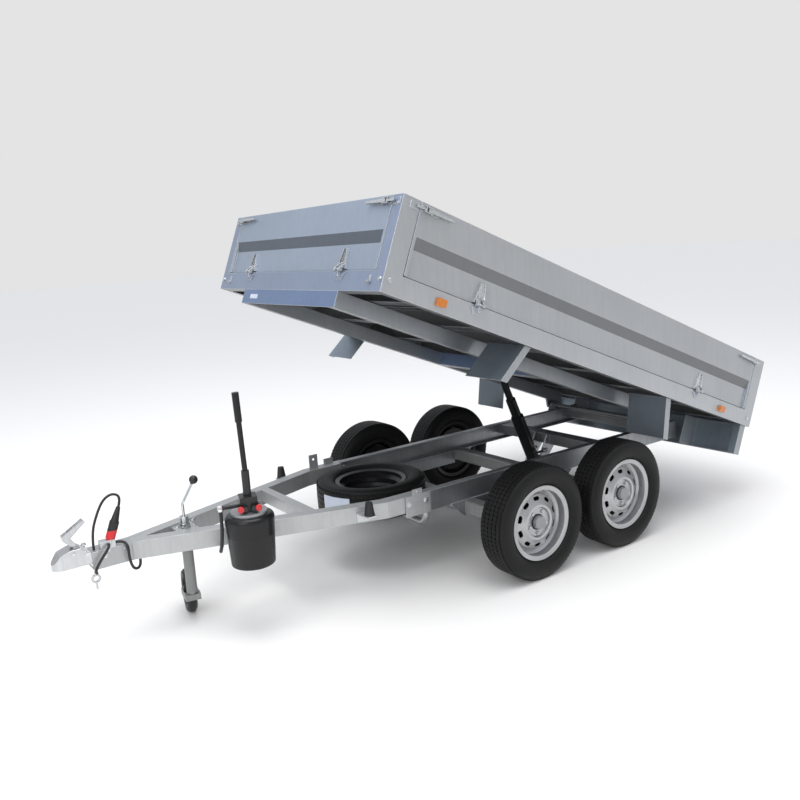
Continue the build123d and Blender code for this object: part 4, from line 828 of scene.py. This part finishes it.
def tyre(name, place, axle):
    """A tyre turned from its profile, with five rows of blocks, put at its place."""
    points, faces = lathe(tyre_profile(), carcass_steps)
    pieces = [mesh_object(name, points, faces, tyre_rubber)]
    empty = bpy.data.meshes.new("none")
    for k, (height, width, count, slant, drop) in enumerate(tread_rows):
        outer = tyre_radius - drop
        length = 2 * pi * outer / count - tread_cut
        ring = run_tree(tread_ring, f"{name}_row_{k}", empty, {
            "Count": count, "Radius": outer - (tread_depth + tread_sink) / 2,
            "Block": (tread_depth + tread_sink, length, width), "Height": height,
            "Slant": radians(slant), "Material": tyre_rubber})
        pieces.append(ring)
    return stand_along(join_meshes(name, pieces), place, axle)


tyre_count = 0
for row in ("front", "rear"):
    for side, outward in (("left", 1), ("right", -1)):
        low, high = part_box(f"{row}_{side}_tyre")
        dressed = tyre(f"{row}_{side}_tyre_tread", (low + high) / 2, (outward, 0, 0))
        seat(dressed, f"{row}_{side}_wheel", "tyre", f"{row}_{side}_tyre")
        tyre_count += 1
low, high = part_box("spare_tyre")
seat(tyre("spare_tyre_tread", (low + high) / 2, (0, 0, 1)), "chassis", "tyre", "spare_tyre")
print("tyres", tyre_count + 1)

# %% [markdown]
# Round pieces are turned on a lathe: a half section goes round an axis, the doubled points on the axis are
# merged, and the normals are worked out again so that every face points out. Behind each wheel's slots
# sits a brake drum in near black, which is painted shade seen through the slots, and a domed cap with a
# dark ring covers the hub's end.

# %% Turned pieces


def turned(name, profile, steps, material, place, axis):
    """A lathe piece from a half section of (radius, height), with its height along an axis."""
    points, faces = lathe(profile, steps)
    piece = mesh_object(name, points, faces, material)
    faces_out(piece.data, merge=True)
    return stand_along(piece, place, axis)


shade_drum_section = [(0.046, -0.050), (0.136, -0.050), (0.136, 0.006), (0.132, 0.010), (0.046, 0.010)]
cap_section = [(0.0, 0.0590), (0.0140, 0.0588), (0.0240, 0.0580), (0.0305, 0.0566), (0.0330, 0.0535),
               (0.0335, 0.0325), (0.0, 0.0325)]
cap_ring_section = [(0.0336, 0.0322), (0.0395, 0.0322), (0.0390, 0.0350), (0.0336, 0.0350)]
hub_rows = [
    # name, section, steps, material, slot
    # The drum is near black as painted shade behind the wheel's slots.
    ("drum", shade_drum_section, 48, black_paint, "black_paint"),
    ("hub_cap", cap_section, 40, cap_grey, "silver_paint"),
    ("cap_ring", cap_ring_section, 40, black_plastic, "black_plastic"),
]
for row in ("front", "rear"):
    for side, outward in (("left", 1), ("right", -1)):
        low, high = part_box(f"{row}_{side}_tyre")
        for label, section, steps, material, slot_name in hub_rows:
            name = f"{row}_{side}_{label}"
            piece = turned(name, section, steps, material, (low + high) / 2, (outward, 0, 0))
            seat(piece, f"{row}_{side}_wheel", slot_name)
print("drums and caps on each wheel", len(hub_rows))

# %% [markdown]
# The pump's oil tank is a drawn steel can. The CAD solid has a straight bevel for its shoulder, and the
# piece that shows has the rounded one, inside the same outline. The two red valve caps and the plated
# hose elbow are turned too.

# %% The pump's tank, caps and elbow
tank_low, tank_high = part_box("pump_tank")
pump_place = Vector(((tank_low.x + tank_high.x) / 2, (tank_low.y + tank_high.y) / 2, 0))
beam_across = 0.360
beam_length = 1.080
beam_turn = atan2(beam_across, beam_length)
pump_out = Vector((cos(beam_turn), -sin(beam_turn), 0))
pump_along = Vector((sin(beam_turn), cos(beam_turn), 0))
tank_section = [
    (0.0, 0.3220), (0.0850, 0.3220), (0.0905, 0.3235), (0.0938, 0.3268), (0.0950, 0.3320),
    (0.1020, 0.4560), (0.1024, 0.4575), (0.1024, 0.4605), (0.1022, 0.4620), (0.1060, 0.5240),
    (0.1056, 0.5300), (0.1038, 0.5366), (0.1002, 0.5420), (0.0950, 0.5456), (0.0890, 0.5474),
    (0.0830, 0.5480), (0.0, 0.5480),
]
seat(turned("oil_tank", tank_section, 72, black_paint, pump_place, (0, 0, 1)), "chassis", "black_paint",
     "pump_tank")
valve_section = [(0.0, 0.0), (0.0125, 0.0), (0.0138, 0.0020), (0.0138, 0.0110), (0.0120, 0.0140),
                 (0.0, 0.0140)]
valve_out = 0.0505
valve_aside = 0.037
valve_height = Vector((0, 0, 0.5823))
for k, along in enumerate((-valve_aside, valve_aside)):
    place = pump_place + valve_out * pump_out + along * pump_along + valve_height
    cap = turned(f"valve_cap_{k}", valve_section, 24, red_plastic, place, pump_out)
    seat(cap, "chassis", "black_plastic")
elbow_section = [(0.0, 0.5745), (0.0128, 0.5745), (0.0134, 0.5770), (0.0134, 0.5880), (0.0124, 0.5900),
                 (0.0124, 0.6004), (0.0, 0.6004)]
elbow_across, elbow_behind, _ = hose_route[0]
elbow_place = (elbow_across, front_axle_y + elbow_behind, 0)
seat(turned("hose_elbow", elbow_section, 24, chrome_plate, elbow_place, (0, 0, 1)), "chassis", "chrome")
print("pump dressed")

# %% [markdown]
# Bolt heads repeat all over the trailer, so one Geometry Nodes tree makes them: a hexagon head on a washer
# at every point of a small mesh. Each point carries two attributes, the way its bolt faces and its size,
# and there is one mesh for each body that the bolts ride on.

# %% The tree for bolt heads


def bolt_tree():
    """Hexagon heads on washers at the points of a mesh, each facing its point's own way."""
    tree, given, result = new_group(
        "bolt_heads",
        [("Points", "Geometry"), ("Head", "Float"), ("Height", "Float"), ("Washer", "Float"),
         ("Material", "Material")],
        [("Geometry", "Geometry")], "GeometryNodeTree")
    head = add(tree, "GeometryNodeMeshCylinder", {"Vertices": 6})
    washer = add(tree, "GeometryNodeMeshCylinder", {"Vertices": 16, "Depth": 0.004})
    lift = add(tree, "ShaderNodeCombineXYZ")
    lifted = add(tree, "GeometryNodeTransform")
    both = add(tree, "GeometryNodeJoinGeometry")
    facing = add(tree, "GeometryNodeInputNamedAttribute", {"Name": "facing"}, data_type="FLOAT_VECTOR")
    size = add(tree, "GeometryNodeInputNamedAttribute", {"Name": "size"}, data_type="FLOAT")
    turn = add(tree, "FunctionNodeAlignRotationToVector", axis="Z")
    copies = add(tree, "GeometryNodeInstanceOnPoints")
    real = add(tree, "GeometryNodeRealizeInstances")
    paint = add(tree, "GeometryNodeSetMaterial")
    wire(tree, (given, "Head", head, "Radius"), (given, "Height", head, "Depth"),
         (given, "Washer", washer, "Radius"),
         (math(tree, "MULTIPLY", given.outputs["Height"], 0.5), lift, "Z"),
         (head, "Mesh", lifted, "Geometry"), (lift, 0, lifted, "Translation"), (lifted, 0, both, 0),
         (washer, "Mesh", both, 0), (given, "Points", copies, "Points"), (both, 0, copies, "Instance"),
         (facing, "Attribute", turn, "Vector"), (turn, 0, copies, "Rotation"),
         (size, "Attribute", copies, "Scale"), (copies, 0, real, 0), (real, 0, paint, "Geometry"),
         (given, "Material", paint, "Material"), (paint, 0, result, 0))
    return tree


bolt_heads = bolt_tree()

# %% Where the bolts are
bed_length = 2.770
pivot_from_rear = 0.408
bed_over_pivot = 0.100
bed_turn = Matrix.Translation(Vector(joints["bed_tilt"]["pos_m"])) @ Matrix.Rotation(-bed_tilt, 4, "X")
bed_matrix = bed_turn @ Matrix.Translation((0, pivot_from_rear, bed_over_pivot))


def on_bed(x, s, h):
    """A place by the bed's own numbers: across, from its rear edge, above its lower edge."""
    return bed_matrix @ Vector((x, -s, h))


bed_forward = bed_matrix.to_3x3() @ Vector((0, -1, 0))
bed_rows = []
for side in (-1, 1):
    bed_rows += [
        # place, the way the bolt faces, size
        (on_bed(side * 0.738, bed_length, 0.052), bed_forward, 1.0),
        (on_bed(side * 0.760, 2.736, 0.056), (side, 0, 0), 1.0),
        (on_bed(side * 0.760, 0.048, 0.044), (side, 0, 0), 1.0),
        (on_bed(side * 0.738, 0.0, 0.052), -bed_forward, 1.0),
        (on_bed(side * 0.735, bed_length, 0.360), bed_forward, 0.8),
    ]
rail_side = 0.4106
nose_side = 0.0410
clamp_middle = front_axle_y - 1.496
beam_top = 0.4502
chassis_rows = []
for side in (-1, 1):
    chassis_rows += [
        (Vector((side * rail_side, front_axle_y - 0.525, 0.420)), (side, 0, 0), 1.3),
        (Vector((side * rail_side, front_axle_y - 0.425, 0.420)), (side, 0, 0), 1.3),
        (Vector((side * rail_side, front_axle_y - 0.475, 0.474)), (side, 0, 0), 0.7),
        (Vector((side * 0.3640, front_axle_y - 0.400, 0.430)), (-side, 0, 0), 1.0),
        (Vector((side * nose_side, nose_y + 0.066, 0.454)), (side, 0, 0), 0.9),
        (Vector((side * nose_side, nose_y + 0.052, 0.430)), (side, 0, 0), 0.9),
        (Vector((side * nose_side, nose_y + 0.140, 0.440)), (side, 0, 0), 0.9),
        (Vector((side * nose_side, nose_y - 0.016, 0.457)), (side, 0, 0), 1.1),
        (Vector((side * nose_side, nose_y - 0.070, 0.470)), (side, 0, 0), 0.8),
    ]
chassis_rows += [
    (Vector((0.022, clamp_middle, beam_top)), (0, 0, 1), 0.8),
    (Vector((-0.022, clamp_middle, beam_top)), (0, 0, 1), 0.8),
    (Vector((0.0, nose_y - 0.020, 0.488)), (0, 0, 1), 1.0),
]


def bolts(name, body, rows, material):
    """The bolts of one body as one mesh."""
    base = bpy.data.meshes.new(name + "_points")
    base.from_pydata([tuple(place) for place, facing, size in rows], [], [])
    ways = base.attributes.new("facing", "FLOAT_VECTOR", "POINT")
    ways.data.foreach_set("vector", [part for place, facing, size in rows for part in facing])
    sizes = base.attributes.new("size", "FLOAT", "POINT")
    sizes.data.foreach_set("value", [size for place, facing, size in rows])
    piece = run_tree(bolt_heads, name, base, {"Head": 0.0085, "Height": 0.006, "Washer": 0.0115,
                                              "Material": material})
    return seat(piece, body, "zinc_bright")


bolts("bed_bolts", "bed", bed_rows, bright_zinc)
bolts("chassis_bolts", "chassis", chassis_rows, bright_zinc)
print("bolts", len(bed_rows) + len(chassis_rows))

# %% [markdown]
# Small flat pieces are cut from strip: an outline in the side view, given its width across. The rope hooks
# on the bed's front rail are such strips, and so is the clamp's small handle.

# %% Strip pieces


def strip(name, outline, width, matrix, material):
    """An outline of (forward, up) points with a width across, closed at both ends."""
    count = len(outline)
    points = [(side * width / 2, forward, up) for side in (-1, 1) for forward, up in outline]
    faces = [tuple(range(count)), tuple(reversed(range(count, 2 * count)))]
    for k in range(count):
        after = (k + 1) % count
        faces.append((k, count + k, count + after, after))
    piece = mesh_object(name, points, faces, material)
    faces_out(piece.data)
    piece.data.transform(matrix)
    return piece


hook_outline = [(0.0, 0.018), (-0.003, 0.018), (-0.003, -0.004), (-0.009, -0.011), (-0.012, -0.006),
                (-0.015, -0.007), (-0.013, -0.015), (-0.007, -0.019), (0.0, -0.010)]
for k, across in enumerate((-0.653, 0.671)):
    place = bed_matrix @ Matrix.Translation((across, -bed_length, 0.050))
    seat(strip(f"rope_hook_{k}", hook_outline, 0.016, place, bright_zinc), "bed", "zinc_bright")
handle_outline = [(-0.004, 0.0), (0.004, 0.0), (0.004, 0.024), (0.018, 0.030), (0.018, 0.038),
                  (-0.018, 0.038), (-0.018, 0.030), (-0.004, 0.024)]
handle_turn = Matrix.Rotation(radians(50), 4, "Z")
place = Matrix.Translation((0.020, front_axle_y - 1.432, beam_top)) @ handle_turn
seat(strip("clamp_handle", handle_outline, 0.007, place, bright_zinc), "chassis", "zinc_bright")

# %% [markdown]
# Where the photograph shows a label, the piece keeps a blank pale one of the same size: a thin plate that
# follows the tread of the spare wheel, and a flat one on the bed's front tube.

# %% Blank labels


def curved_plate(name, centre, radius, thickness, first, last, low, high, steps, material):
    """A thin plate on an upright cylinder, from one angle to another, counted from forward to the left."""
    points = []
    for r in (radius, radius + thickness):
        for k in range(steps + 1):
            turn = first + (last - first) * k / steps
            for z in (low, high):
                points.append((centre[0] + r * sin(turn), centre[1] - r * cos(turn), z))
    row = 2 * (steps + 1)
    faces = []
    for k in range(steps):
        a = 2 * k
        faces += [(a, a + 1, a + 3, a + 2), (row + a, row + a + 2, row + a + 3, row + a + 1),
                  (a, a + 2, row + a + 2, row + a), (a + 1, row + a + 1, row + a + 3, a + 3)]
    end = row - 2
    faces += [(0, row, row + 1, 1), (end, end + 1, row + end + 1, row + end)]
    return mesh_object(name, points, faces, material)


spare_low, spare_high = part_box("spare_tyre")
spare_centre = (spare_low + spare_high) / 2
label_radius = tyre_radius + 0.0001
spare_label = curved_plate("spare_label", spare_centre, label_radius, 0.0008, radians(0), radians(34),
                           spare_centre.z - 0.040, spare_centre.z + 0.044, 24, pale_label)
seat(spare_label, "chassis", "rubber")
label_outline = [(0.0, -0.011), (-0.001, -0.011), (-0.001, 0.011), (0.0, 0.011)]
place = bed_matrix @ Matrix.Translation((-0.329, -bed_length, -0.036))
seat(strip("front_label", label_outline, 0.080, place, pale_label), "bed", "galvanised")
print("labels placed")
